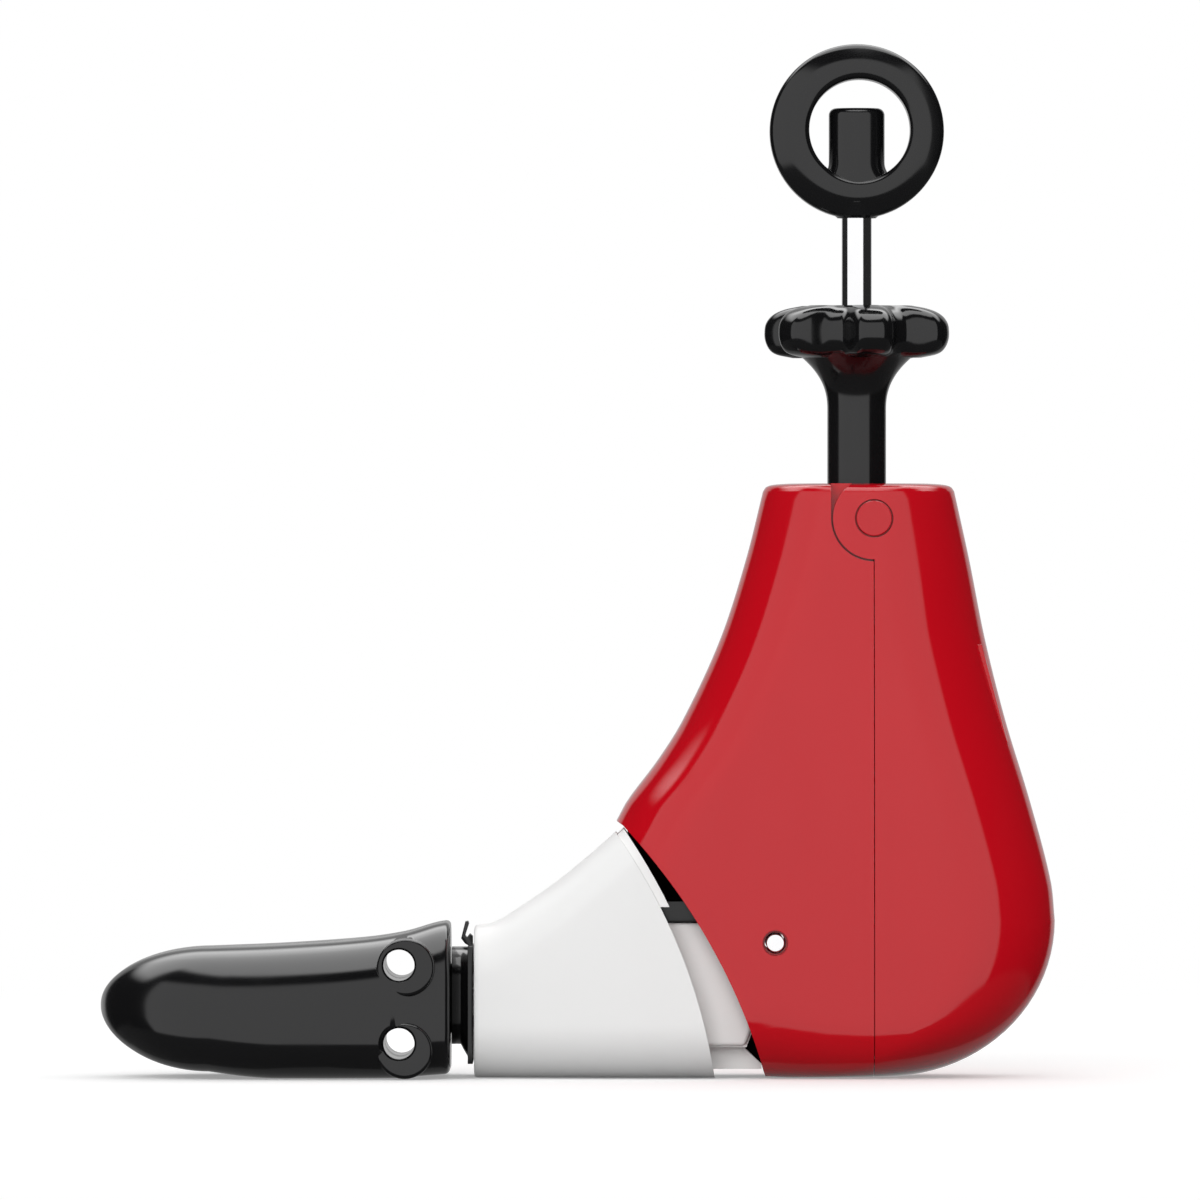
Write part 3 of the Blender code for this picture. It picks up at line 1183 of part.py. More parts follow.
def toe_pocket(side):
    """Hollow of one half round the spine and the wedge, with the ramp left standing."""
    slot = SPINE_HALF + RUN
    root = box("root_slot", (ROOT_FRONT_X - RUN, -slot, ROOT_Z[0] - RUN), (REACH, slot, ROOT_Z[1] + RUN))
    rails = box("spine_slot", (SPINE_TIP_X - RUN, -slot, SPINE_Z[0] - RUN), (REACH, slot, SPINE_Z[1] + RUN))
    room_x = WEDGE_X[0] - WEDGE_ROOM
    wide = half_wedge(WEDGE_X[0]) + TOUCH / WEDGE_SLOPE
    meet_x = WEDGE_X[1] - (RAMP_INNER - TOUCH - WEDGE_TIP_HALF) / WEDGE_SLOPE
    inside = slot - TOUCH
    ramp = [(room_x, 0.0), (room_x, wide), (WEDGE_X[0], wide), (meet_x, RAMP_INNER), (RAMP_BACK_X, RAMP_INNER),
            (RAMP_BACK_X, inside), (ROOT_FRONT_X, inside), (ROOT_FRONT_X, 0.0)]
    ramp = [(x, side * y) for x, y in ramp]
    low, high = BAND[0] + TOUCH, BAND[1] - TOUCH
    tongue_y = sorted((side * RAMP_INNER, side * (slot + 1 * MM)))
    tongue = box("ramp_space", (room_x, tongue_y[0], low), (RAMP_BACK_X, tongue_y[1], high))
    cut(tongue, flat_plate("ramp_side", ramp, low - 1 * MM, high + 1 * MM))
    cut(rails, tongue)
    join(rails, root)
    return rails, flat_plate("wedge_room", ramp, BAND[0], BAND[1])


def toe_half(side, name):
    """One toe half: moulded outside, sockets right through, pockets for spine, wedge and rods."""
    half = toe_body("toe")
    away = sorted((side * TOE_SPLIT, -side * REACH))
    for x, z, radius in SOCKET_BOSSES:
        flank = toe_half_width(x) + SOCKET_PROUD
        join(half, side_span("socket_boss", x, z, radius, 2 * TOE_SHOULDER, flank, side))
    cut(half, box("other_side", (-REACH, away[0], -REACH), (REACH, away[1], REACH)))
    cut(half, *toe_pocket(side))
    for x, z in SOCKETS:
        cut(half, span("socket", x, z, SOCKET_RADIUS, -REACH, REACH))
    for x, z, reach in (GUIDE_FRONT, GUIDE_REAR):
        cut(half, side_span("guide_bore", x, z, GUIDE_RADIUS + TOUCH, 0.0, reach + TOUCH, side))
    room = TOE_SPRING_RADIUS + SPRING_WIRE + RUN
    deep = TOE_SPRING_HALF + TOUCH
    cut(half, side_span("spring_room", TOE_SPRING_X, TOE_SPRING_Z, room, 0.0, deep, side))
    plug = TOE_SPRING_RADIUS - SPRING_WIRE - TOUCH
    join(half, side_span("toe_plug", TOE_SPRING_X, TOE_SPRING_Z, plug, deep - PLUG_LENGTH, deep + 1 * MM, side))
    return part(half, name, BLACK)


def toe_core():
    """Black core: flange and neck at the instep, and the slotted spine inside the toe."""
    flange_x = SHELL_FRONT_X - TOUCH
    neck_x = TOE_BACK_X + TOUCH
    flange = box("flange", (flange_x - FLANGE_THICK, -FLANGE_HALF, FLANGE_Z[0]), (flange_x, FLANGE_HALF, FLANGE_Z[1]))
    outline = rounded(NECK_Z[0], NECK_Z[1], NECK_HALF, NECK_HALF, NECK_ROUND, NECK_ROUND)
    flare = rounded(FLANGE_Z[0], NECK_Z[1], NECK_HALF + NECK_FLARE, NECK_HALF + NECK_FLARE, NECK_ROUND, NECK_ROUND)
    overlap = flange_x - FLANGE_THICK / 2
    neck = loft("neck", [[(neck_x, y, z) for z, y in outline], [(neck_x + NECK_STRAIGHT, y, z) for z, y in outline],
                         [(overlap, y, z) for z, y in flare]])
    hook = box("hook", (flange_x - FLANGE_THICK - HOOK_THICK / 2, -HOOK_HALF, FLANGE_Z[1] - HOOK_LAP),
               (flange_x - FLANGE_THICK / 2, HOOK_HALF, HOOK_TOP_Z))
    root = box("root", (ROOT_FRONT_X, -SPINE_HALF, ROOT_Z[0]), (neck_x + 1 * MM, SPINE_HALF, ROOT_Z[1]))
    spine = box("spine", (SPINE_TIP_X, -SPINE_HALF, SPINE_Z[0]), (neck_x + 2 * MM, SPINE_HALF, SPINE_Z[1]))
    core = join(flange, neck, hook, root, spine)
    cut(core, box("window", (WINDOW_X[0], -REACH, BAND[0]), (WINDOW_X[1], REACH, BAND[1])))
    cut(core, cable_way("core_cable_way", WINDOW_X[1] - 5 * MM, SHELL_FRONT_X + 5 * MM, CABLE_RADIUS + TOUCH))
    for x, z, reach in (GUIDE_FRONT, GUIDE_REAR):
        cut(core, span("core_guide", x, z, GUIDE_RADIUS + TOUCH, -reach, reach))
    end = flange_x - INSTEP_SCREW_DEPTH - TOUCH
    cut(core, *instep_holes(SCREW_RADIUS + TOUCH, end, flange_x + 5 * MM))
    return part(core, "toe_core", BLACK)


def toe_wedge():
    """Wedge in the spine's window, its wide end to the front."""
    low, high = BAND[0] + TOUCH, BAND[1] - TOUCH
    wide = half_wedge(WEDGE_X[0])
    points = [(WEDGE_X[0], -wide), (WEDGE_X[1], -WEDGE_TIP_HALF), (WEDGE_X[1], WEDGE_TIP_HALF), (WEDGE_X[0], wide)]
    wedge = flat_plate("wedge", points, low, high)
    end = CABLE_END_X
    cut(wedge, cable_way("wedge_cable_way", end, WEDGE_X[1] + 5 * MM, CABLE_RADIUS + TOUCH))
    return part(wedge, "toe_wedge", GREY, (WEDGE_X[1], 0.0, WEDGE_Z))


def guide_rod(place, name):
    """Steel rod that both halves slide on."""
    x, z, reach = place
    return part(span(name, x, z, GUIDE_RADIUS, -reach, reach), name, STEEL)


def toe_spring():
    """Extension spring that closes the toe halves."""
    start = (TOE_SPRING_X, -TOE_SPRING_HALF + SPRING_WIRE, TOE_SPRING_Z)
    length = 2 * (TOE_SPRING_HALF - SPRING_WIRE)
    spring = wire("toe_spring", coil(start, "y", TOE_SPRING_RADIUS, length, TOE_SPRING_TURNS), SPRING_WIRE)
    return part(spring, "toe_spring", STEEL)


def build():
    """Make every sub-part."""
    heel_front_shell()
    heel_rear_shell()
    hinge_pin(-1, "hinge_pin_left")
    hinge_pin(1, "hinge_pin_right")
    ring_handle()
    drive_rod()
    rod_clip(FRAME_FOOT_Z - TOUCH - CLIP_THICK, "rod_clip_lower")
    rod_clip(FRAME_FOOT_Z + BUSH_HEIGHT + TOUCH, "rod_clip_upper")
    rod_bush()
    star_knob()
    screw_sleeve()
    length_nut()
    spreader_block()
    roller_axle()
    spreader_roller(-1, "spreader_roller_left")
    spreader_roller(1, "spreader_roller_right")
    inner_frame()
    frame_screws()
    heel_spring()
    pivot_pin()
    cable_pulley()
    cable_nut()
    pull_cable()
    instep_shell()
    hinge_arm()
    instep_screws()
    toe_core()
    toe_wedge()
    guide_rod(GUIDE_FRONT, "guide_rod_front")
    guide_rod(GUIDE_REAR, "guide_rod_rear")
    toe_spring()
    toe_half(-1, "toe_half_left")
    toe_half(1, "toe_half_right")


build()
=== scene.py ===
"""Looks of a shoe stretcher: red heel, white instep, black split toe, star knob and finger ring.

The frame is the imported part: the toe points to -X, the heel to +X, +Z is up and the sole lies
on z = 0. The classes hold their sizes in millimetres, and Form turns them into metres.
"""
import json
import logging
import math
from dataclasses import dataclass
from enum import Enum
from typing import Iterable, Sequence

import bmesh
import bpy
from mathutils import Matrix, Vector

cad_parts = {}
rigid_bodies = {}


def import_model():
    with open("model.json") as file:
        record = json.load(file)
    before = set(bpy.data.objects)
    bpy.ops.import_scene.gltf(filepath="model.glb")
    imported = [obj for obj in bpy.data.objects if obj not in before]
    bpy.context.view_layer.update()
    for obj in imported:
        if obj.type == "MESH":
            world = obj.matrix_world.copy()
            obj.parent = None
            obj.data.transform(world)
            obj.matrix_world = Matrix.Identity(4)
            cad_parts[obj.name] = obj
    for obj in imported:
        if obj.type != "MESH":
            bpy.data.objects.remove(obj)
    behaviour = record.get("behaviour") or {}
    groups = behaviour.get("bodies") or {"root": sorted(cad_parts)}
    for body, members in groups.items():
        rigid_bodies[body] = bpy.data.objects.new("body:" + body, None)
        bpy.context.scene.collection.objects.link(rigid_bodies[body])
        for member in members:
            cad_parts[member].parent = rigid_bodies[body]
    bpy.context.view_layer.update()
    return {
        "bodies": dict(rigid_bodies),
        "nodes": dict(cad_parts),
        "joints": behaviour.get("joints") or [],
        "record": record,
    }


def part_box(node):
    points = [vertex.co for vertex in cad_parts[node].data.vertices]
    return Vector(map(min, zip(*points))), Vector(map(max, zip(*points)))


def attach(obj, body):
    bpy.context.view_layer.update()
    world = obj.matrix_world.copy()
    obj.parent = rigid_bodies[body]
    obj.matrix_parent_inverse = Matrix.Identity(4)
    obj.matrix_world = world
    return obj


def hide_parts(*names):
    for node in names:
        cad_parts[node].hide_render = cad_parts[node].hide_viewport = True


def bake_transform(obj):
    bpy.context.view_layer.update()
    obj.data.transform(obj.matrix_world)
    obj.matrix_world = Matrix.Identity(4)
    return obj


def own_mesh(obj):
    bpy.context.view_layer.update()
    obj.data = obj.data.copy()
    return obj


# Lengths are in millimetres and angles in degrees, unless a docstring says otherwise. Cutting
# tools pass the part by REACH. TOUCH is the gap of a close fit, ROOM that of a free one.
MM = 0.001
REACH = 300.0
TOUCH = 0.3
ROOM = 0.4
SEAM = 0.16
MERGE = 0.001
TINY = 1e-9
SHARP, WIRE_SHARP, STEEP = 32.0, 60.0, 40.0
MOST_ROUND = 0.96
WIRE_SIDES, CABLE_SIDES, BORE_SIDES, SIDES, MORE_SIDES, MOST_SIDES = 10, 24, 32, 48, 64, 96
TURN_SIDES, RIM_STEPS = 56, 8
THREAD_STEPS = 14
THREAD_SLOPE, THREAD_FLAT = 1.7, 0.35
STRANDS, GROOVE = 6, 0.22
LEFT, RIGHT = -1, 1
SIDE_NAMES = {LEFT: "left", RIGHT: "right"}
LOG = logging.getLogger("shoe_stretcher")

Point2 = tuple[float, float]
Point3 = tuple[float, float, float]
Line = Sequence[Point2]


class Slot(Enum):
    """The record's material slots."""

    RED = "red_plastic"
    BLACK = "black_plastic"
    WHITE = "white_plastic"
    GREY = "grey_nylon"
    CHROME = "chromed_steel"
    STEEL = "bright_steel"
    BRASS = "brass"


class Axis(Enum):
    """The axis that a turned piece stands on."""

    X = "x"
    Y = "y"
    Z = "z"

    def matrix(self) -> Matrix:
        """Return the turn that lays +Z on this axis."""
        if self is Axis.X:
            return Matrix.Rotation(math.pi / 2, 4, "Y")
        if self is Axis.Y:
            return Matrix.Rotation(math.pi / 2, 4, "X")
        return Matrix.Identity(4)


class Nodes:
    """Short calls for a node tree."""

    def __init__(self, tree: bpy.types.NodeTree) -> None:
        """Keep the tree."""
        self.tree = tree

    def add(self, kind: str, **settings: object) -> bpy.types.Node:
        """Add a node.

        Args:
            kind: the node's type name.
            settings: the node's properties by name.

        Returns:
            The new node.
        """
        node = self.tree.nodes.new(kind)
        for name, value in settings.items():
            setattr(node, name, value)
        return node

    def feed(self, target: bpy.types.NodeSocket, source: object) -> None:
        """Link a socket, or set its value."""
        if isinstance(source, bpy.types.NodeSocket):
            self.tree.links.new(source, target)
        else:
            target.default_value = source

    def math(self, operation: str, *values: object) -> bpy.types.NodeSocket:
        """Return the result of a Math node on sockets or numbers."""
        node = self.add("ShaderNodeMath", operation=operation)
        for socket, value in zip(node.inputs, values):
            self.feed(socket, value)
        return node.outputs[0]

    def step(self, value: object, low: float, high: float,
             start: float = 0.0, end: float = 1.0) -> bpy.types.NodeSocket:
        """Return a smooth change from start to end while value goes from low to high."""
        node = self.add("ShaderNodeMapRange", interpolation_type="SMOOTHSTEP")
        names = ("Value", "From Min", "From Max", "To Min", "To Max")
        for name, source in zip(names, (value, low, high, start, end)):
            self.feed(node.inputs[name], source)
        return node.outputs["Result"]

    def edge(self, value: object, at: float, soft: float, falls: bool = False) -> bpy.types.NodeSocket:
        """Return a soft edge at a value, which rises from 0 to 1 or falls back to 0."""
        return self.step(value, at - soft, at + soft, float(falls), float(not falls))

    def blend(self, kind: str, fac: object, first: object, second: object) -> bpy.types.NodeSocket:
        """Return a mix of two values or colours."""
        node = self.add("ShaderNodeMix", data_type=kind)
        for name, source in zip(("Factor", "A", "B"), (fac, first, second)):
            self.feed(node.inputs[name], source)
        return node.outputs["Result"]

    def noise(self, scale: float, detail: float, stretch: Point3 = (1.0, 1.0, 1.0)) -> bpy.types.NodeSocket:
        """Return noise on Object coordinates.

        Args:
            scale: how many features a metre holds.
            detail: how many finer layers are added.
            stretch: how much each axis is packed closer.

        Returns:
            The noise's value from 0 to 1.
        """
        place = self.add("ShaderNodeTexCoord")
        mapping = self.add("ShaderNodeMapping")
        mapping.inputs["Scale"].default_value = stretch
        self.feed(mapping.inputs["Vector"], place.outputs["Object"])
        node = self.add("ShaderNodeTexNoise")
        self.feed(node.inputs["Vector"], mapping.outputs["Vector"])
        node.inputs["Scale"].default_value = scale
        node.inputs["Detail"].default_value = detail
        return node.outputs["Fac"]

    def tint(self, colour: Point3, spread: float, fac: object) -> bpy.types.NodeSocket:
        """Return a colour that drifts about its value by a share."""
        low = (*(c * (1 - spread) for c in colour), 1.0)
        high = (*(min(1.0, c * (1 + spread)) for c in colour), 1.0)
        return self.blend("RGBA", fac, low, high)

    def bump(self, height: object, distance: float, strength: float,
             normal: object = None) -> bpy.types.NodeSocket:
        """Return a bumped normal."""
        node = self.add("ShaderNodeBump")
        node.inputs["Distance"].default_value = distance
        node.inputs["Strength"].default_value = strength
        self.feed(node.inputs["Height"], height)
        if normal is not None:
            self.feed(node.inputs["Normal"], normal)
        return node.outputs["Normal"]


def new_material(name: str) -> tuple[bpy.types.Material, Nodes, bpy.types.Node]:
    """Return a new material with its node tree's calls and its shader."""
    material = bpy.data.materials.new(name)
    material.use_nodes = True
    return material, Nodes(material.node_tree), material.node_tree.nodes["Principled BSDF"]


@dataclass(frozen=True)
class Plastic:
    """Moulded plastic: a gloss that drifts, a faint flow in the colour and a fine orange peel.

    The noises give how many features a metre holds and how many finer layers they have. The
    edge and the depths are in metres.
    """

    slot: Slot
    colour: Point3
    roughness: float
    haze: float = 0.03
    drift: float = 0.02
    peel: float = 0.05
    level: float = 0.5
    edge: float = 0.00022
    edge_samples: int = 6
    cloud: Point2 = (22.0, 3.0)
    smear: Point2 = (60.0, 5.0)
    smear_flow: Point3 = (1.0, 1.0, 0.4)
    smear_range: Point2 = (0.35, 0.7)
    grain: Point2 = (900.0, 2.0)
    grain_depth: float = 0.00002
    wave: Point2 = (70.0, 1.0)
    wave_depth: float = 0.0002

    def make(self) -> bpy.types.Material:
        """Return the material."""
        material, nodes, shader = new_material(self.slot.value)
        tint = nodes.tint(self.colour, self.drift, nodes.noise(*self.cloud))
        nodes.feed(shader.inputs["Base Color"], tint)
        smear = nodes.noise(*self.smear, self.smear_flow)
        ends = (self.roughness - self.haze / 2, self.roughness + self.haze)
        nodes.feed(shader.inputs["Roughness"], nodes.step(smear, *self.smear_range, *ends))
        shader.inputs["Specular IOR Level"].default_value = self.level
        soft = nodes.add("ShaderNodeBevel", samples=self.edge_samples)
        soft.inputs["Radius"].default_value = self.edge
        grain = nodes.bump(nodes.noise(*self.grain), self.grain_depth, self.peel, soft.outputs["Normal"])
        wave = nodes.bump(nodes.noise(*self.wave), self.wave_depth, self.peel, grain)
        nodes.feed(shader.inputs["Normal"], wave)
        return material


@dataclass(frozen=True)
class Metal:
    """Worked metal: bright, with fine marks along its length.

    The noises give how many features a metre holds and how many finer layers they have. The
    depth is in metres.
    """

    slot: Slot
    colour: Point3
    roughness: float
    spread: float
    marks: float
    lines: Point2 = (2600.0, 3.0)
    lines_flow: Point3 = (1.0, 1.0, 0.04)
    lines_depth: float = 0.00002
    patch: Point2 = (90.0, 4.0)
    patch_drift: float = 0.04
    rough_range: Point2 = (0.3, 0.7)

    def make(self) -> bpy.types.Material:
        """Return the material."""
        material, nodes, shader = new_material(self.slot.value)
        shader.inputs["Metallic"].default_value = 1.0
        lines = nodes.noise(*self.lines, self.lines_flow)
        patch = nodes.noise(*self.patch)
        nodes.feed(shader.inputs["Base Color"], nodes.tint(self.colour, self.patch_drift, patch))
        mixed = nodes.math("MULTIPLY", nodes.math("ADD", lines, patch), 0.5)
        ends = (self.roughness, self.roughness + self.spread)
        nodes.feed(shader.inputs["Roughness"], nodes.step(mixed, *self.rough_range, *ends))
        nodes.feed(shader.inputs["Normal"], nodes.bump(lines, self.lines_depth, self.marks))
        return material


FINISHES = (
    Plastic(Slot.RED, (0.56, 0.0025, 0.010), 0.085, haze=0.03, drift=0.03, peel=0.04),
    Plastic(Slot.BLACK, (0.006, 0.006, 0.0065), 0.13, haze=0.05, drift=0.15, peel=0.06),
    Plastic(Slot.WHITE, (0.93, 0.93, 0.925), 0.40, haze=0.05, drift=0.01, peel=0.05, level=0.2),
    Plastic(Slot.GREY, (0.92, 0.92, 0.91), 0.42, haze=0.10, drift=0.03, peel=0.12),
    Metal(Slot.CHROME, (0.88, 0.88, 0.89), 0.04, 0.05, 0.02),
    Metal(Slot.STEEL, (0.58, 0.58, 0.59), 0.24, 0.12, 0.10),
    Metal(Slot.BRASS, (0.72, 0.52, 0.22), 0.22, 0.14, 0.10),
)
# Matt near-black with a faint red: painted shade, laid on dark pieces that stand for the shade in the
# mouth's gaps.
SHADE_LINER = Plastic(Slot.BLACK, (0.004, 0.0015, 0.0015), 0.85, haze=0.05, drift=0.1, peel=0.1, level=0.08)


def along(line: Line, at: float) -> float:
    """Read a smooth curve through the (at, value) points of a line.

    Args:
        line: points with rising first values.
        at: where to read.

    Returns:
        The value there, run on straight past the ends.
    """
    last = len(line) - 1
    i = 0
    while i < last - 1 and at > line[i + 1][0]:
        i += 1
    (x0, y0), (x1, y1) = line[i], line[i + 1]
    before = line[i - 1] if i else line[i]
    after = line[i + 2] if i + 2 <= last else line[i + 1]
    width = x1 - x0
    slope0 = (y1 - before[1]) / (x1 - before[0])
    slope1 = (after[1] - y0) / (after[0] - x0)
    t = (at - x0) / width
    if t < 0.0:
        return y0 + slope0 * (at - x0)
    if t > 1.0:
        return y1 + slope1 * (at - x1)
    a = 2 * t ** 3 - 3 * t ** 2 + 1
    b = t ** 3 - 2 * t ** 2 + t
    c = -2 * t ** 3 + 3 * t ** 2
    d = t ** 3 - t ** 2
    return a * y0 + b * slope0 * width + c * y1 + d * slope1 * width


def arc(start: Point2, end: Point2, sag: float, count: int = 24) -> list[Point2]:
    """List points on a shallow arc that bulges towards +X.

    Args:
        start: first point.
        end: last point.
        sag: how far the arc's middle stands off its chord.
        count: how many steps.

    Returns:
        The points, both ends among them.
    """
    first, last = Vector(start), Vector(end)
    chord = (last - first).length
    radius = chord ** 2 / (8 * sag) + sag / 2
    side = Vector((last.y - first.y, first.x - last.x)).normalized()
    side = side if side.x > 0 else -side
    centre = (first + last) / 2 + side * (sag - radius)
    begin = math.atan2(first.y - centre.y, first.x - centre.x)
    turn = math.atan2(last.y - centre.y, last.x - centre.x) - begin
    steps = [begin + turn * i / count for i in range(count + 1)]
    return [(centre.x + radius * math.cos(a), centre.y + radius * math.sin(a)) for a in steps]


def circle(u: float, v: float, radius: float, first: float, last: float,
           count: int = RIM_STEPS) -> list[Point2]:
    """List points on a circle between two angles in degrees."""
    angles = [math.radians(first + (last - first) * i / count) for i in range(count + 1)]
    return [(u + radius * math.cos(a), v + radius * math.sin(a)) for a in angles]


def oval(half_u: float, half_v: float, power: float, count: int) -> list[Point2]:
    """List a superelliptic outline about the origin."""
    points = []
    for i in range(count):
        u, v = math.cos(2 * math.pi * i / count), math.sin(2 * math.pi * i / count)
        across = math.copysign(abs(u) ** (2 / power), u)
        points.append((half_u * across, half_v * math.copysign(abs(v) ** (2 / power), v)))
    return points


def coil(start: Point3, axis: Axis, radius: float, length: float, turns: float, first: float = 0.0,
         per_turn: int = 28) -> list[Point3]:
    """List the points of a coil's wire along X or Y.

    Args:
        start: the middle of its first turn.
        axis: the axis that it winds about.
        radius: how far the wire lies from that axis.
        length: how far it runs along the axis, to either side.
        turns: how many turns it has, below 0 for the other hand.
        first: the angle of its first point.
        per_turn: how many points each turn has.

    Returns:
        The points from end to end.
    """
    x, y, z = start
    points = []
    steps = int(abs(turns) * per_turn)
    for i in range(steps + 1):
        angle = math.radians(first) + 2 * math.pi * turns * i / steps
        u, v = radius * math.cos(angle), radius * math.sin(angle)
        way = length * i / steps
        points.append((x + way, y + u, z + v) if axis is Axis.X else (x + u, y + way, z + v))
    return points


def rounded(low: float, high: float, half: float, round_low: float, round_high: float,
            count: int = 16) -> list[Point2]:
    """List a rounded outline, symmetric about v = 0, with its own corner at each end."""
    near, far = low + round_low, high - round_high
    corners = (
        (far, half - round_high, round_high, 0),
        (near, half - round_low, round_low, 90),
        (near, round_low - half, round_low, 180),
        (far, round_high - half, round_high, 270),
    )
    points = []
    for u, v, radius, first in corners:
        points += circle(u, v, radius, first, first + 90, count)
    return points


def beside(side: int, near: float, far: float) -> Point2:
    """Return two distances from the mid plane as Y values of one side, the lower one first."""
    low, high = sorted((side * near, side * far))
    return low, high


class Form:
    """A closed shape under construction in millimetres, made with bmesh operators."""

    def __init__(self) -> None:
        """Start empty."""
        self.mesh = bmesh.new()

    def ring(self, points: Sequence[Point3]) -> list[bmesh.types.BMEdge]:
        """Lay one closed loop of edges through the points."""
        made = bmesh.ops.create_circle(self.mesh, segments=len(points), radius=1.0)
        for vert, point in zip(made["verts"], points):
            vert.co = point
        return list({edge for vert in made["verts"] for edge in vert.link_edges})

    def loft(self, rings: Sequence[Sequence[Point3]]) -> "Form":
        """Bridge loops of equally many points and cap both ends."""
        loops = [self.ring(points) for points in rings]
        for low, high in zip(loops, loops[1:]):
            bmesh.ops.bridge_loops(self.mesh, edges=low + high)
        for loop in (loops[0], loops[-1]):
            bmesh.ops.contextual_create(self.mesh, geom=loop)
        return self

    def box(self, low: Point3, high: Point3) -> "Form":
        """Add a box between two corners."""
        made = bmesh.ops.create_cube(self.mesh, size=1.0)
        first, last = Vector(low), Vector(high)
        bmesh.ops.scale(self.mesh, vec=last - first, verts=made["verts"])
        bmesh.ops.translate(self.mesh, vec=(first + last) / 2, verts=made["verts"])
        return self

    def rod(self, centre: Point3, radius: float, length: float, axis: Axis = Axis.Z,
            sides: int = SIDES) -> "Form":
        """Add a cylinder about its centre."""
        made = bmesh.ops.create_cone(self.mesh, cap_ends=True, segments=sides, radius1=radius,
                                     radius2=radius, depth=length)
        matrix = Matrix.Translation(centre) @ axis.matrix()
        bmesh.ops.transform(self.mesh, matrix=matrix, verts=made["verts"])
        return self

    def span(self, x: float, z: float, radius: float, near: float, far: float, side: int = 1,
             sides: int = SIDES) -> "Form":
        """Add a cylinder along Y between two distances from the mid plane."""
        centre = (x, side * (near + far) / 2, z)
        return self.rod(centre, radius, abs(far - near), Axis.Y, sides)

    def plate(self, points: Sequence[Point2], low: float, high: float) -> "Form":
        """Extrude a closed (x, z) outline along Y."""
        return self.slab([(x, low, z) for x, z in points], (0.0, high - low, 0.0))

    def slab(self, points: Sequence[Point3], way: Point3) -> "Form":
        """Extrude a flat outline along a vector."""
        verts = [self.mesh.verts.new(point) for point in points]
        face = self.mesh.faces.new(verts)
        made = bmesh.ops.extrude_face_region(self.mesh, geom=[face])
        moved = [item for item in made["geom"] if isinstance(item, bmesh.types.BMVert)]
        bmesh.ops.translate(self.mesh, vec=way, verts=moved)
        return self

    def turned(self, profile: Line, centre: Point3 = (0.0, 0.0, 0.0), axis: Axis = Axis.Z,
               steps: int = MORE_SIDES) -> "Form":
        """Spin a (radius, height) profile about an axis through the centre."""
        verts = [self.mesh.verts.new((radius, 0.0, height)) for radius, height in profile]
        edges = [self.mesh.edges.new(pair) for pair in zip(verts, verts[1:])]
        old = set(self.mesh.verts) - set(verts)
        bmesh.ops.spin(self.mesh, geom=verts + edges, cent=(0, 0, 0), axis=(0, 0, 1), dvec=(0, 0, 0),
                       angle=2 * math.pi, steps=steps, use_merge=True, use_duplicate=False)
        new = [vert for vert in self.mesh.verts if vert not in old]
        bmesh.ops.transform(self.mesh, matrix=Matrix.Translation(centre) @ axis.matrix(), verts=new)
        return self

    def threaded(self, x: float, levels: Line, thread: Point2, lead: float, depth: float,
                 sides: int) -> "Form":
        """Loft an upright screw whose thread fades out at both ends.

        Args:
            x: its axis's place, on the mid plane.
            levels: the (z, radius) corners of its plain outline.
            thread: the heights that the thread lies between.
            lead: the thread's rise in one turn.
            depth: the thread's depth.
            sides: points round one ring.

        Returns:
            This form.
        """
        foot, top = thread
        steps = round((top - foot) / lead * THREAD_STEPS)
        turns = {foot + (top - foot) * i / steps for i in range(steps + 1)}
        rings = []
        for z in sorted({z for z, _ in levels} | turns):
            below = [level for level in levels if level[0] <= z][-1]
            above = [level for level in levels if level[0] >= z][0]
            share = (z - below[0]) / max(above[0] - below[0], TINY)
            radius = below[1] + (above[1] - below[1]) * share
            fade = max(0.0, min(1.0, (z - foot) / lead, (top - z) / lead))
            ring = []
            for k in range(sides):
                crest = abs(2 * ((z / lead - k / sides) % 1.0) - 1)
                groove = min(1.0, max(0.0, THREAD_SLOPE * crest - THREAD_FLAT))
                r = radius - depth * fade * groove
                angle = 2 * math.pi * k / sides
                ring.append((x + r * math.cos(angle), r * math.sin(angle), z))
            rings.append(ring)
        return self.loft(rings)

    def tube(self, points: Sequence[Point3], radius: float, sides: int, twist: float = 0.0) -> "Form":
        """Sweep a round section along a route, or with a twist in radians a stranded one."""
        route = [Vector(point) for point in points]
        rings = []
        across = None
        for i, place in enumerate(route):
            ahead = (route[min(i + 1, len(route) - 1)] - route[max(i - 1, 0)]).normalized()
            if across is None:
                across = ahead.orthogonal().normalized()
            across = (across - ahead * across.dot(ahead)).normalized()
            up = ahead.cross(across)
            ring = []
            for k in range(sides):
                a = 2 * math.pi * k / sides
                strand = 1 - GROOVE + GROOVE * abs(math.cos(STRANDS / 2 * (a + twist * i)))
                r = radius * strand if twist else radius
                ring.append(place + r * (across * math.cos(a) + up * math.sin(a)))
            rings.append(ring)
        return self.loft(rings)

    def finish(self, name: str, sharp: float = SHARP) -> bpy.types.Object:
        """Close the shape and make its object.

        Args:
            name: the object's name.
            sharp: edges steeper than this many degrees stay sharp.

        Returns:
            The object, at the origin.
        """
        bmesh.ops.remove_doubles(self.mesh, verts=self.mesh.verts, dist=MERGE)
        bmesh.ops.recalc_face_normals(self.mesh, faces=self.mesh.faces)
        bmesh.ops.scale(self.mesh, vec=(MM, MM, MM), verts=self.mesh.verts)
        mesh = bpy.data.meshes.new(name)
        self.mesh.to_mesh(mesh)
        self.mesh.free()
        mesh.shade_smooth()
        mesh.set_sharp_from_angle(angle=math.radians(sharp))
        item = bpy.data.objects.new(name, mesh)
        bpy.context.scene.collection.objects.link(item)
        return item


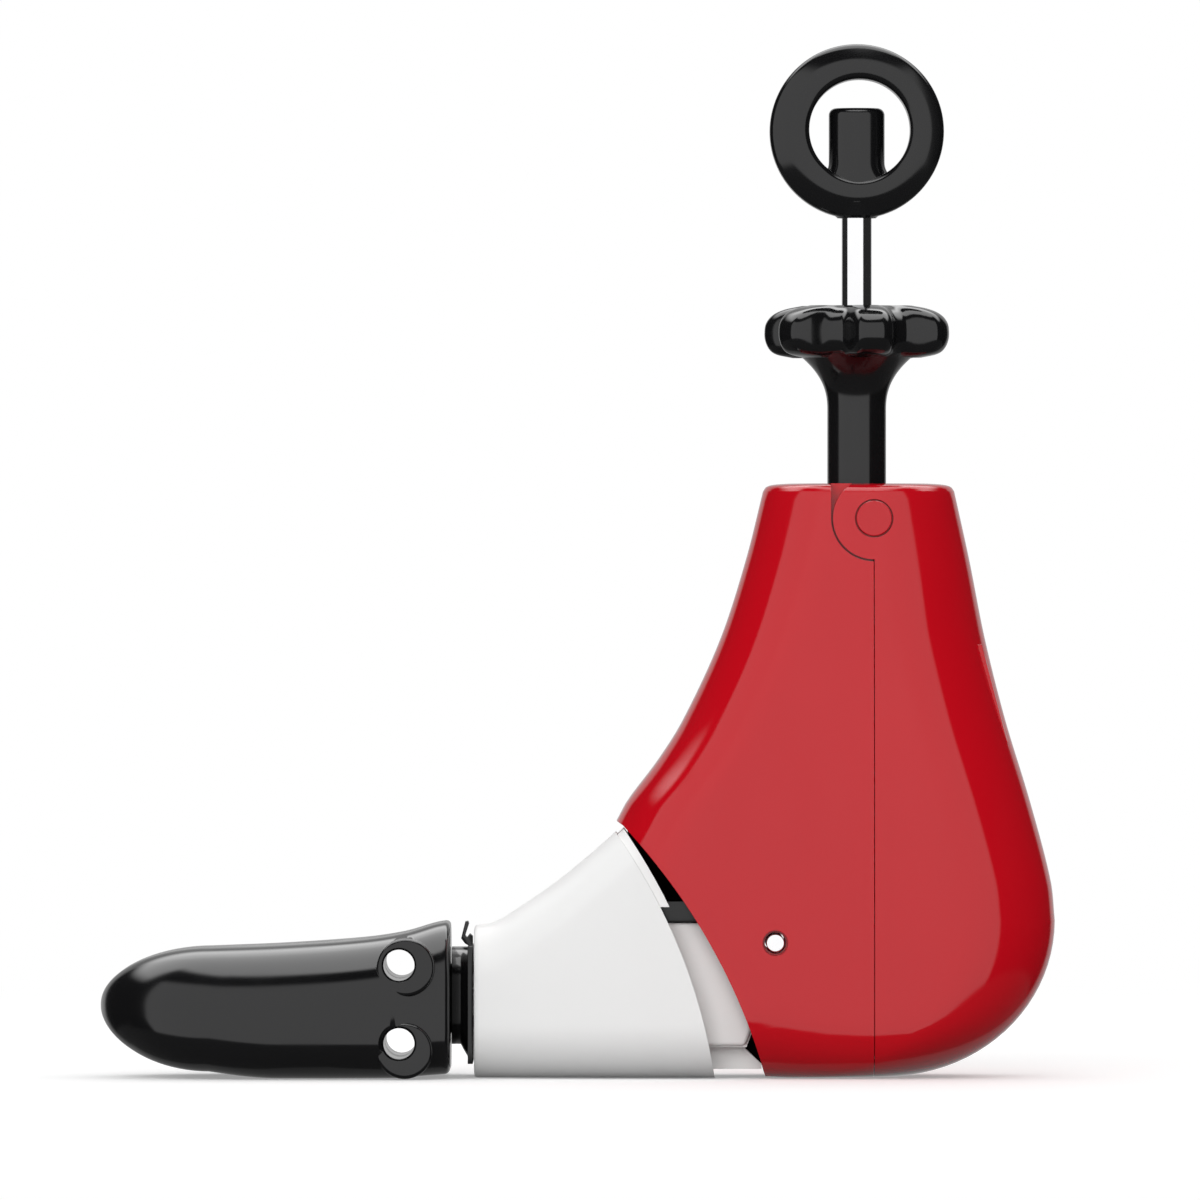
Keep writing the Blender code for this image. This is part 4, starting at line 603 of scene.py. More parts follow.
def settle(item: bpy.types.Object) -> bpy.types.Object:
    """Apply an object's modifiers."""
    graph = bpy.context.evaluated_depsgraph_get()
    mesh = bpy.data.meshes.new_from_object(item.evaluated_get(graph))
    item.modifiers.clear()
    item.data = mesh
    mesh.name = item.name
    mesh.shade_smooth()
    mesh.set_sharp_from_angle(angle=math.radians(SHARP))
    return item


def combine(item: bpy.types.Object, operation: str,
            tools: Iterable[bpy.types.Object]) -> bpy.types.Object:
    """Apply one exact Boolean with each tool, and remove the tools."""
    for tool in tools:
        step = item.modifiers.new(tool.name, "BOOLEAN")
        step.operation = operation
        step.solver = "EXACT"
        step.object = tool
        settle(item)
        bpy.data.objects.remove(tool, do_unlink=True)
    return item


def cut(item: bpy.types.Object, *tools: bpy.types.Object) -> bpy.types.Object:
    """Take the tools away from an object."""
    return combine(item, "DIFFERENCE", tools)


def join(item: bpy.types.Object, *tools: bpy.types.Object) -> bpy.types.Object:
    """Add the tools to an object."""
    return combine(item, "UNION", tools)


def soften(item: bpy.types.Object, width: float, segments: int = 2) -> bpy.types.Object:
    """Round an object's steep edges by a width in millimetres."""
    step = item.modifiers.new("edges", "BEVEL")
    step.width = width * MM
    step.segments = segments
    step.limit_method = "ANGLE"
    step.angle_limit = math.radians(STEEP)
    return settle(item)


def sideways(profile: Line, x: float, z: float, side: int, name: str) -> bpy.types.Object:
    """Return a turned piece that points out of one flank."""
    item = Form().turned(profile, (x, 0.0, z), Axis.Y).finish(name)
    if side == RIGHT:
        item.data.transform(Matrix.Scale(-1, 4, (0, 1, 0)))
        item.data.flip_normals()
    return item


class Workshop:
    """Keeps the frame and the finishes, and hangs pieces on the frame's bodies."""

    def __init__(self, frame: dict) -> None:
        """Make each finish once and dress the frame's own nodes."""
        self.frame = frame
        self.materials = {finish.slot: finish.make() for finish in FINISHES}
        # the matt near-black that paints the shade in the mouth's gaps
        self.shade_liner = SHADE_LINER.make()
        self.slots = {row["node"]: Slot(row["material_slot"]) for row in frame["record"]["subparts"]}
        for name, node in frame["nodes"].items():
            self.dress(node, self.slots[name])

    def dress(self, item: bpy.types.Object, slot: Slot) -> None:
        """Give an object one finish."""
        item.data.materials.clear()
        item.data.materials.append(self.materials[slot])

    def fit(self, item: bpy.types.Object, body: str, slot: Slot, *nodes: str,
            shade_liner: bool = False) -> bpy.types.Object:
        """Hang a piece on a body in place of some nodes.

        Args:
            item: the finished piece.
            body: the body that it rides on.
            slot: its finish.
            nodes: the nodes that it stands for.
            shade_liner: whether it takes the matt near-black painted shade of the mouth's gaps.

        Returns:
            The piece.
        """
        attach(item, body)
        self.name(item, slot, *nodes)
        # swap in the painted shade of the mouth's gaps
        if shade_liner:
            item.data.materials[0] = self.shade_liner
        return item

    def name(self, item: bpy.types.Object, slot: Slot, *nodes: str) -> None:
        """Give a piece its finish and the nodes that it stands for."""
        self.dress(item, slot)
        if nodes:
            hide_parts(*nodes)
        LOG.info("%s has %d faces", item.name, len(item.data.polygons))

    def stretch(self, item: bpy.types.Object, bodies: tuple[str, str], start: Point3, end: Point3,
                node: str) -> None:
        """Bake a steel piece in place and give it the steel finish, in place of a node."""
        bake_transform(item)
        self.name(item, Slot.STEEL, node)

    def turn(self, node: str, body: str, axis: Axis, inner: float, edge: float = 0.3) -> None:
        """Make a round piece, bored or solid, in the space of its node.

        Args:
            node: the node that it stands for.
            body: the body that it rides on.
            axis: the axis that it stands on.
            inner: its bore's radius, or 0.
            edge: the width of its chamfers.
        """
        low, high = (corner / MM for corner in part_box(node))
        i = list(Axis).index(axis)
        half = (high[i] - low[i]) / 2
        outer = (high[(i + 1) % 3] - low[(i + 1) % 3]) / 2
        rim = [(outer - edge, half), (outer, half - edge), (outer, edge - half), (outer - edge, -half)]
        if inner:
            wider, end = inner + edge / 2, half - edge / 2
            profile = rim + [(wider, -half), (inner, -end), (inner, end), (wider, half)] + rim[:1]
        else:
            profile = [(0.0, half)] + rim + [(0.0, -half)]
        item = Form().turned(profile, (low + high) / 2, axis, TURN_SIDES).finish(node + "_turned")
        self.fit(item, body, self.slots[node], node)


@dataclass
class Assembly:
    """What the sub-assemblies share: the workshop, the two axes, the wire and the arm's screws."""

    shop: Workshop
    rod_x: float = 67.0
    rod_radius: float = 3.6
    sleeve: float = 6.9
    pivot: Point2 = (47.2, 32.4)
    pivot_radius: float = 2.2
    wire: float = 0.4
    arm_screws: Line = ((10.5, 13.0), (10.5, 26.0))
    arm_screw: float = 1.6

    def bore(self, item: bpy.types.Object, radius: float) -> bpy.types.Object:
        """Bore an upright way about the rod's axis."""
        way = Form().rod((self.rod_x, 0.0, 0.0), radius, 2 * REACH, sides=MORE_SIDES)
        return cut(item, way.finish("upright_way"))

    def screw_ways(self, item: bpy.types.Object, start: float, end: float) -> bpy.types.Object:
        """Bore the ways of the arm's four screws between two places."""
        for y, z in self.arm_screws:
            for side in (LEFT, RIGHT):
                centre = ((start + end) / 2, side * y, z)
                way = Form().rod(centre, self.arm_screw, end - start, Axis.X, CABLE_SIDES)
                cut(item, way.finish("screw_way"))
        return item


@dataclass
class Heel(Assembly):
    """The red heel: one oval body, split at the seam, with hinge ears at its top.

    The body's lines hold (distance below the top, distance from the rod's axis or the mid
    plane) points. The dark rib's and stop's points, painted shade in the mouth's gaps, stand
    off the mouth's upper corner. The roller is (x, z, radius) and the spring (x, z, length). The
    fine and coarse steps are those of the sole's curve, of the height and of one corner.
    """

    top: float = 142.1
    wall: float = 2.6
    back_line: Line = ((1.9, 23.4), (18.3, 27.0), (37.5, 30.8), (56.7, 35.6), (75.9, 41.4),
                       (95.1, 46.4), (104.7, 47.4))
    front_line: Line = ((1.9, 22.5), (18.3, 26.6), (37.5, 32.8), (56.7, 41.7), (66.3, 47.7),
                        (75.9, 54.9), (80.7, 57.5))
    width_line: Line = ((1.9, 20.6), (37.5, 24.2), (75.9, 27.6), (104.7, 28.5), (142.1, 28.5))
    crown_drop: float = 1.9
    crown_inset: float = 6.0
    flat: float = 7.0
    crown: Line = ((0.0, 1.0), (0.12, 0.45), (0.4, 0.15), (1.0, 0.0))
    crown_steps: int = 12
    fine: tuple[int, int, int] = (22, 48, 24)
    coarse: tuple[int, int, int] = (8, 10, 8)
    front_round: float = 20.0
    back_round: float = 23.0
    sole_round: float = 12.2
    side_steps: int = 12
    sole_middle: float = 68.0
    sole_spread: float = 26.0
    sole_growth: Point2 = (4.4, 3.0)
    mouth_top: Point2 = (10.9, 60.3)
    mouth_foot: float = 45.0
    mouth_sag: float = 4.2
    mouth_rise: float = 34.2
    # The dark rib and stop: painted shade, plates that stand where the mouth's inside lies in shade.
    shade_rib_line: Line = ((0.7, 1.2), (1.8, -6.3), (7.1, -18.4), (16.6, -18.4), (9.1, -6.3),
                      (3.1, 6.7))
    shade_stop_line: Line = ((6.9, -18.1), (6.9, -24.0), (19.0, -24.0), (17.2, -18.1))
    shade_piece_half: float = 5.0
    slot_half: float = 15.9
    slot_top: float = 8.3
    slot_swing: float = 14.0
    hinge: Point2 = (70.85, 133.7)
    ear: float = 9.85
    collar: float = 9.4
    collar_half: float = 13.5
    pin_head: float = 4.25
    pin_head_length: float = 2.8
    pin_shank: float = 2.5
    pin_depth: float = 4.6
    pin_edge: float = 0.2
    pivot_edge: float = 0.35
    boss: float = 4.2
    boss_inner: float = 19.9
    counterbore: float = 3.0
    counterbore_depth: float = 3.4
    sleeve_room: float = 0.9
    cavity_top: float = 121.25
    frame_top: float = 120.0
    frame_front: float = 50.0
    screw_heights: Point2 = (85.0, 112.0)
    screw: float = 1.3
    screw_grip: float = 8.0
    roller: Point3 = (79.0, 102.1, 4.0)
    travel: float = 18.0
    opening: float = 10.0
    cam_steps: int = 28
    cam_past: int = 4
    rib_near: float = 8.1
    rib_far: float = 11.3
    spring: Point3 = (76.7, 39.8, 25.0)
    spring_radius: float = 3.0
    spring_turns: int = 7
    plug_length: float = 3.5

    def half(self, z: float) -> float:
        """Return the half width at a height."""
        return along(self.width_line, self.top - z)

    def front(self, z: float) -> float:
        """Return the front's place at a height."""
        return self.rod_x - along(self.front_line, self.top - z)

    def back(self, z: float, inset: float = 0.0) -> float:
        """Return the back's place at a height: an elliptic heel below a smooth line."""
        turn = self.top - self.back_line[-1][0]
        if z >= turn:
            return self.rod_x + along(self.back_line, self.top - z) - inset
        reach = self.back_line[-1][1] - self.flat - inset
        share = min(1.0, (turn - z) / (turn - inset))
        return self.rod_x + self.flat + reach * math.sqrt(1.0 - share ** 2)

    def tuck(self, x: float, z: float, inset: float) -> float:
        """Return how far the flank draws in above the sole, most at the mouth and at the heel's back."""
        growth = self.sole_growth[0] if x < self.sole_middle else self.sole_growth[1]
        corner = self.sole_round + growth * min(1.0, abs(x - self.sole_middle) / self.sole_spread) ** 2
        rise = corner - z
        if rise <= 0.0:
            return 0.0
        radius = corner - inset
        return radius - math.sqrt(max(0.0, radius ** 2 - rise ** 2))

    def level(self, z: float, inset: float, shrink: float, count: int) -> list[Point3]:
        """Return one level ring of the body.

        Args:
            z: its height.
            inset: the wall's thickness for the hollow, or 0.
            shrink: how far the crown draws it in.
            count: how many steps a corner has.

        Returns:
            The ring's points.
        """
        half = self.half(z) - inset - shrink
        low, high = self.front(z) + inset + shrink, self.back(z, inset) - shrink
        rounds = [min(size - inset, MOST_ROUND * half) for size in (self.front_round, self.back_round)]
        corners = rounded(low, high, half, *rounds, count)
        outline = []
        for i, (x, y) in enumerate(corners):
            outline.append((x, y))
            if i in (count, 3 * count + 2):
                run = (corners[i + 1][0] - x) / self.side_steps
                outline += [(x + run * k, y) for k in range(1, self.side_steps)]
        return [(x, y * (1 - min(MOST_ROUND, self.tuck(x, z, inset) / half)), z) for x, y in outline]

    def body(self, name: str, inset: float = 0.0) -> bpy.types.Object:
        """Return the outer form, or its hollow when it is inset."""
        turn = self.top - self.back_line[-1][0]
        steps, levels, count = self.coarse if inset else self.fine
        floor = [inset + (turn - inset) * (1 - math.cos(math.pi / 2 * i / steps)) for i in range(steps + 1)]
        end = self.cavity_top if inset else self.top - self.crown_drop
        rise = [turn + (end - turn) * (i + 1) / levels for i in range(levels)]
        rings = [self.level(z, inset, 0.0, count) for z in floor + rise]
        for i in range(1, 1 if inset else self.crown_steps + 1):
            share = (i / self.crown_steps) ** 2
            z = self.top - self.crown_drop * along(self.crown, share)
            rings.append([(x, y, z) for x, y, _ in self.level(end, 0.0, self.crown_inset * share, count)])
        return Form().loft(rings).finish(name)

    def screw_way(self) -> bpy.types.Object:
        """Return the bore round the threaded sleeve."""
        length = 2 * (self.top - self.frame_top)
        way = Form().rod((self.rod_x, 0.0, self.top), self.sleeve + self.sleeve_room, length)
        return way.finish("screw_way")

    def front_shell(self) -> None:
        """Make the front shell."""
        x, z = self.hinge
        shell = self.body("heel_front_body")
        behind = Form().box((x - SEAM / 2, -REACH, -REACH), (REACH, REACH, REACH)).finish("behind")
        collar = Form().span(x, z, self.collar, -self.collar_half, self.collar_half, sides=MORE_SIDES)
        cut(behind, collar.finish("collar"))
        cut(shell, self.body("front_hollow", self.wall), behind)
        for side in (LEFT, RIGHT):
            self.front_flank(shell, side)
        cut(shell, Form().span(*self.pivot, self.pivot_radius + TOUCH, -REACH, REACH).finish("pivot_bore"))
        low = (self.mouth_top[0], -self.slot_half, -REACH)
        high = (self.mouth_foot + self.slot_swing, self.slot_half, self.slot_top)
        cut(shell, self.screw_way(), Form().box(low, high).finish("foot_slot"), self.mouth())
        # dark pieces that paint the shade inside the mouth
        self.mouth_shade_pieces()
        for height in self.screw_heights:
            begin = self.front(height + self.boss) + self.wall / 2
            stop = self.frame_front - TOUCH
            centre = ((begin + stop) / 2, 0.0, height)
            join(shell, Form().rod(centre, self.boss, stop - begin, Axis.X).finish("frame_boss"))
            length = 2 * (self.screw_grip + TOUCH)
            bore = Form().rod((stop, 0.0, height), self.screw + TOUCH, length, Axis.X)
            cut(shell, bore.finish("frame_bore"))
        self.shop.fit(shell, "heel_front", Slot.RED, "heel_front_shell")

    def front_flank(self, shell: bpy.types.Object, side: int) -> None:
        """Cut one flank's ear pocket, pin bore and pivot seat into the front shell."""
        x, z = self.hinge
        room = self.ear + ROOM
        pocket = Form().span(x, z, room, self.collar_half, REACH, side, MOST_SIDES).finish("ear_pocket")
        low, high = beside(side, self.collar_half, REACH)
        cut(shell, pocket, Form().box((x - room, low, z), (x, high, REACH)).finish("ear_way"))
        bore = self.collar_half - self.pin_depth - TOUCH
        cut(shell, Form().span(x, z, self.pin_shank + TOUCH, bore, REACH, side).finish("pin_bore"))
        flank = self.half(self.pivot[1])
        seat = Form().span(*self.pivot, self.boss, self.boss_inner, flank - self.wall / 2, side)
        join(shell, seat.finish("pivot_boss"))
        sink = flank - self.counterbore_depth
        cut(shell, Form().span(*self.pivot, self.counterbore, sink, REACH, side).finish("pivot_sink"))

    def mouth_shade_pieces(self) -> None:
        """Make the matt rib and black stop that close the mouth: painted shade of its dark inside."""
        # Both plates are painted shade; matt gives the rib the matt near-black painted shade.
        for name, line, matt in (("mouth_rib", self.shade_rib_line, True), ("mouth_shade_stop", self.shade_stop_line, False)):
            points = [(self.mouth_top[0] + u, self.mouth_top[1] + v) for u, v in line]
            piece = Form().plate(points, -self.shade_piece_half, self.shade_piece_half).finish(name)
            self.shop.fit(piece, "heel_front", Slot.BLACK, "heel_front_shell", shade_liner=matt)

    def mouth(self) -> bpy.types.Object:
        """Return what lies ahead of the front shell's curved lower edge."""
        edge = arc(self.mouth_top, (self.mouth_foot, 0.0), self.mouth_sag)
        up = self.mouth_top[1] + (self.mouth_top[0] + REACH) * math.tan(math.radians(self.mouth_rise))
        points = [(-REACH, up)] + edge + [(self.mouth_foot, -REACH), (-REACH, -REACH)]
        return Form().plate(points, -REACH, REACH).finish("mouth")

    def rear_shell(self) -> None:
        """Make the rear shell."""
        x, z = self.hinge
        shell = self.body("heel_rear_body")
        ahead = Form().box((-REACH, -REACH, -REACH), (x + SEAM / 2, REACH, REACH)).finish("ahead")
        near = self.collar_half + TOUCH
        for side in (LEFT, RIGHT):
            cut(ahead, Form().span(x, z, self.ear, near, REACH, side, MOST_SIDES).finish("ear_space"))
        cut(shell, self.body("rear_hollow", self.wall), ahead)
        collar = Form().span(x, z, self.collar + ROOM, -near, near, sides=MORE_SIDES).finish("collar_way")
        cut(shell, collar, self.screw_way())
        sink = self.half(z) - self.pin_head_length - TOUCH
        for side in (LEFT, RIGHT):
            cut(shell, Form().span(x, z, self.pin_shank + TOUCH, 0.0, REACH, side).finish("ear_bore"),
                Form().span(x, z, self.pin_head + TOUCH, sink, REACH, side).finish("ear_sink"))
        for side in (LEFT, RIGHT):
            join(shell, self.cam_rib(side))
        begin, height, length = self.spring
        plug, inside = self.spring_radius - self.wire - TOUCH, begin + length
        stop = self.back(height) - self.wall / 2
        for start, radius in ((inside + self.wire + TOUCH, self.boss), (inside - self.plug_length, plug)):
            centre = ((start + stop) / 2, 0.0, height)
            join(shell, Form().rod(centre, radius, stop - start, Axis.X).finish("spring_post"))
        self.shop.fit(shell, "heel_rear", Slot.RED, "heel_rear_shell")

    def cam_rib(self, side: int) -> bpy.types.Object:
        """Return one cam rib: the roller's path in the opening shell, set back by the roller."""
        x, z = self.hinge
        path = []
        for i in range(-self.cam_past, self.cam_steps + self.cam_past):
            share = i / self.cam_steps
            angle = math.radians(self.opening) * share
            u, v = self.roller[0] - x, self.roller[1] - self.travel * share - z
            across, up = math.cos(angle), math.sin(angle)
            path.append(Vector((u * across + v * up, v * across - u * up)))
        cam = []
        for before, after in zip(path, path[1:]):
            run = (after - before).normalized()
            point = (before + after) / 2 + Vector((-run.y, run.x)) * (self.roller[2] + TOUCH)
            cam.append((x + point.x, z + point.y))
        ends = [(self.back(height) - self.wall / 2, height) for height in (cam[-1][1], cam[0][1])]
        return Form().plate(cam + ends, *beside(side, self.rib_near, self.rib_far)).finish("cam_rib")

    def return_spring(self) -> None:
        """Make the spring that closes the rear shell."""
        x, z, length = self.spring
        points = coil((x, 0.0, z), Axis.X, self.spring_radius, length, self.spring_turns)
        spring = Form().tube(points, self.wire, WIRE_SIDES).finish("return_spring", WIRE_SHARP)
        ends = ((x, 0.0, z), (x + length, 0.0, z))
        self.shop.stretch(spring, ("heel_front", "heel_rear"), *ends, "heel_spring")

    def hinge_pin(self, side: int) -> None:
        """Make one stepped hinge pin, whose cap is flush with the flank."""
        name = "hinge_pin_" + SIDE_NAMES[side]
        tip, face = sorted(abs(corner.y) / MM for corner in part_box(name))
        neck, r = face - self.pin_head_length, self.pin_head
        profile = [(0.0, tip), (self.pin_shank, tip), (self.pin_shank, neck), (r, neck),
                   (r, face - self.pin_edge), (r - self.pin_edge, face), (0.0, face)]
        pin = sideways(profile, *self.hinge, side, name + "_cap")
        self.shop.fit(pin, "heel_front", Slot.RED, name)

    def pivot_pin(self) -> None:
        """Make the polished pin with rounded edges."""
        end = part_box("pivot_pin")[1].y / MM
        edge = self.pivot_edge
        rim = circle(self.pivot_radius - edge, end - edge, edge, 0, 90) + [(0.0, end)]
        profile = [(u, -v) for u, v in reversed(rim)] + rim
        pin = Form().turned(profile, (self.pivot[0], 0.0, self.pivot[1]), Axis.Y, SIDES)
        self.shop.fit(pin.finish("pivot_pin_polished"), "heel_front", Slot.CHROME, "pivot_pin")

    def build(self) -> None:
        """Make the whole heel."""
        self.front_shell()
        self.rear_shell()
        self.hinge_pin(LEFT)
        self.hinge_pin(RIGHT)
        self.pivot_pin()
        self.return_spring()


@dataclass
class Drive(Assembly):
    """The finger ring with its rod, and the star knob with its screw.

    The collar's points stand over the ring's foot, and the star's section holds (share of the
    thickness, share of the radius) points.
    """

    rod_thread: Point2 = (43.5, 79.0)
    rod_lead: float = 3.2
    rod_depth: float = 0.45
    rod_edge: float = 0.5
    ring_z: float = 226.6
    ring_radius: float = 20.9
    ring_thick: float = 8.8
    ring_offset: float = 0.8
    ring_lean: float = -30.0
    ring_deep: float = 13.0
    ring_cone: float = 27.0
    ring_rounds: Point3 = (2.0, 6.0, 1.8)
    ring_steps: int = 120
    ring_bend_steps: int = 6
    ring_collar: Line = ((0.0, 4.0), (6.2, 4.0), (5.4, 0.8), (4.6, 0.1), (0.0, 0.1))
    socket: float = 15.0
    stub_half: float = 6.7
    stub_deep: float = 6.0
    stub_rise: float = 5.6
    stub_edge: float = 1.7
    stub_power: float = 2.1
    stub_steps: int = 12
    stub_flare: float = 2.0
    stub_flare_rise: Point2 = (0.4, 2.0)
    stub_flare_power: float = 2.2
    star_top: float = 184.8
    star_radius: float = 22.8
    star_thick: float = 12.5
    star_section: Line = ((0.0, 0.70), (0.06, 0.86), (0.15, 0.94), (0.32, 0.99), (0.5, 1.0),
                          (0.68, 0.98), (0.84, 0.90), (0.94, 0.77), (1.0, 0.6))
    star_steps: int = 36
    star_turn: float = 11.0
    lobes: int = 6
    lobe_steps: int = 28
    lobe_powers: Point2 = (1.5, 1.9)
    lobe_ease: float = 0.5
    valley: float = 0.30
    flare_radius: float = 14.3
    flare_height: float = 13.5
    flare_power: float = 2.4
    flare_steps: int = 30
    flare_overlap: Point2 = (1.0, 3.0)
    tube_radius: float = 7.05
    tube_sides: int = 112
    sleeve_joint: float = 139.0
    sleeve_foot: float = 108.4
    sleeve_lead: float = 3.6
    sleeve_depth: float = 0.9
    sleeve_edge: float = 1.1
    sleeve_plain: float = 4.0
    sleeve_sides: int = 80

    def ring_section(self, half: float) -> list[Point2]:
        """List the ring's section: flat beside the hole, then a gentle cone to a rounded outer edge.

        Args:
            half: half of the section's width; its +u side lies away from the hole.

        Returns:
            The (u, v) points of the closed section.
        """
        deep, (outer, bend, inner) = self.ring_deep / 2, self.ring_rounds
        cone = math.radians(self.ring_cone)
        meet = half - outer + outer * math.sin(cone)
        low = deep - meet * math.tan(cone) - outer * math.cos(cone)
        upper = circle(half - outer, low, outer, 0, 90 - self.ring_cone)
        upper += circle(-bend * math.tan(cone / 2), deep - bend, bend, 90 - self.ring_cone, 90,
                        self.ring_bend_steps)
        upper += circle(inner - half, deep - inner, inner, 90, 180)
        return upper + [(u, -v) for u, v in reversed(upper)]

    def ring(self) -> None:
        """Make the finger ring, a little thinner towards the heel, with its stub."""
        form = Form()
        loops = []
        for i in range(self.ring_steps):
            angle = 2 * math.pi * i / self.ring_steps
            lean = math.cos(angle - math.radians(self.ring_lean))
            half = self.ring_thick / 2 - self.ring_offset / 2 * lean
            turn = Matrix.Translation((self.rod_x, 0.0, self.ring_z)) @ Matrix.Rotation(angle, 4, "Y")
            section = [(self.ring_radius - half + u, v, 0.0) for u, v in self.ring_section(half)]
            loops.append(form.ring([turn @ Vector(point) for point in section]))
        for low, high in zip(loops, loops[1:] + loops[:1]):
            bmesh.ops.bridge_loops(form.mesh, edges=low + high)
        ring = form.finish("ring_torus")
        foot = self.ring_z - self.ring_radius
        collar = Form().turned([(r, foot + rise) for r, rise in self.ring_collar], (self.rod_x, 0.0, 0.0))
        join(ring, self.stub(), collar.finish("ring_collar"))
        bore, length = self.rod_radius + TOUCH, 2 * self.socket
        cut(ring, Form().rod((self.rod_x, 0.0, foot), bore, length, sides=MORE_SIDES).finish("rod_socket"))
        ring.name = "finger_ring"
        self.shop.fit(ring, "ring", Slot.BLACK, "ring_handle")

    def stub(self) -> bpy.types.Object:
        """Return the oval stub with its flared root and its soft top."""
        inner = self.ring_z - self.ring_radius + self.ring_thick
        top = self.ring_z + self.stub_rise
        low, run = self.stub_flare_rise
        rows = [(inner - self.ring_thick / 2, 0.0, 0.0)]
        shares = [i / self.stub_steps for i in range(self.stub_steps + 1)]
        for share in shares:
            flare = self.stub_flare * (1 - share) ** self.stub_flare_power
            rows.append((inner + self.stub_flare * (low + run * share), flare, 0.0))
        for share in shares:
            angle = math.pi / 2 * share
            draw = -self.stub_edge * (1 - math.cos(angle))
            rows.append((top - self.stub_edge + self.stub_edge * math.sin(angle), draw, draw))
        rings = []
        for z, wide, deep in rows:
            outline = oval(self.stub_half + wide, self.stub_deep + deep, self.stub_power, SIDES)
            rings.append([(self.rod_x + u, v, z) for u, v in outline])
        return Form().loft(rings).finish("stub")

    def rod(self) -> None:
        """Make the chromed rod with the thread of the cable's nut."""
        foot, top = (corner.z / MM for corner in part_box("drive_rod"))
        r, edge = self.rod_radius, self.rod_edge
        levels = [(foot, r - edge), (foot + edge, r), (top - edge, r), (top, r - edge)]
        thread = (self.rod_thread, self.rod_lead, self.rod_depth)
        rod = Form().threaded(self.rod_x, levels, *thread, MOST_SIDES).finish("chromed_rod")
        self.shop.fit(rod, "ring", Slot.CHROME, "drive_rod")

    def screw(self) -> None:
        """Make the threaded sleeve under the knob's tube."""
        foot, top, r = self.sleeve_foot, self.sleeve_joint - TOUCH, self.sleeve
        levels = [(foot, r - self.sleeve_edge), (foot + self.sleeve_edge, r), (top, r)]
        thread = (foot, top - self.sleeve_plain)
        sleeve = Form().threaded(self.rod_x, levels, thread, self.sleeve_lead, self.sleeve_depth,
                                 self.sleeve_sides)
        bored = self.bore(sleeve.finish("threaded_sleeve"), self.rod_radius + ROOM)
        self.shop.fit(bored, "star", Slot.STEEL, "screw_sleeve")

    def star_level(self, z: float, radius: float) -> list[Point3]:
        """Return one level ring of the star."""
        points = []
        count = self.lobes * self.lobe_steps
        out, into = self.lobe_powers
        for i in range(count):
            angle = 2 * math.pi * i / count
            crest = 0.5 + 0.5 * math.cos(self.lobes * angle)
            lobe = crest ** out / (crest ** out + (1 - crest) ** into)
            reach = radius * (1 - self.valley * (1 - lobe)) - self.lobe_ease * (1 - crest) * lobe
            turn = angle - math.pi / 2 + math.radians(self.star_turn)
            points.append((self.rod_x + reach * math.cos(turn), reach * math.sin(turn), z))
        return points

    def star(self) -> None:
        """Make the star knob with its flare and tube."""
        foot = self.star_top - self.star_thick
        ups = [0.5 - 0.5 * math.cos(math.pi * i / self.star_steps) for i in range(self.star_steps + 1)]
        knob = Form().loft([self.star_level(foot + self.star_thick * up,
                                            self.star_radius * along(self.star_section, up)) for up in ups])
        knob = knob.finish("star_body")
        start, root = (foot + rise for rise in self.flare_overlap)
        profile = [(0.0, root), (self.flare_radius, root)]
        for i in range(self.flare_steps + 1):
            down = i / self.flare_steps
            flare = (self.flare_radius - self.tube_radius) * (1 - down) ** self.flare_power
            profile.append((self.tube_radius + flare, start - self.flare_height * down))
        profile += [(self.tube_radius, self.sleeve_joint), (0.0, self.sleeve_joint)]
        tube = Form().turned(profile, (self.rod_x, 0.0, 0.0), steps=self.tube_sides)
        join(knob, tube.finish("tube"))
        self.bore(knob, self.rod_radius + ROOM)
        knob.name = "star_with_tube"
        self.shop.fit(knob, "star", Slot.BLACK, "star_knob")

    def build(self) -> None:
        """Make ring, rod, star and screw."""
        self.ring()
        self.rod()
        self.star()
        self.screw()


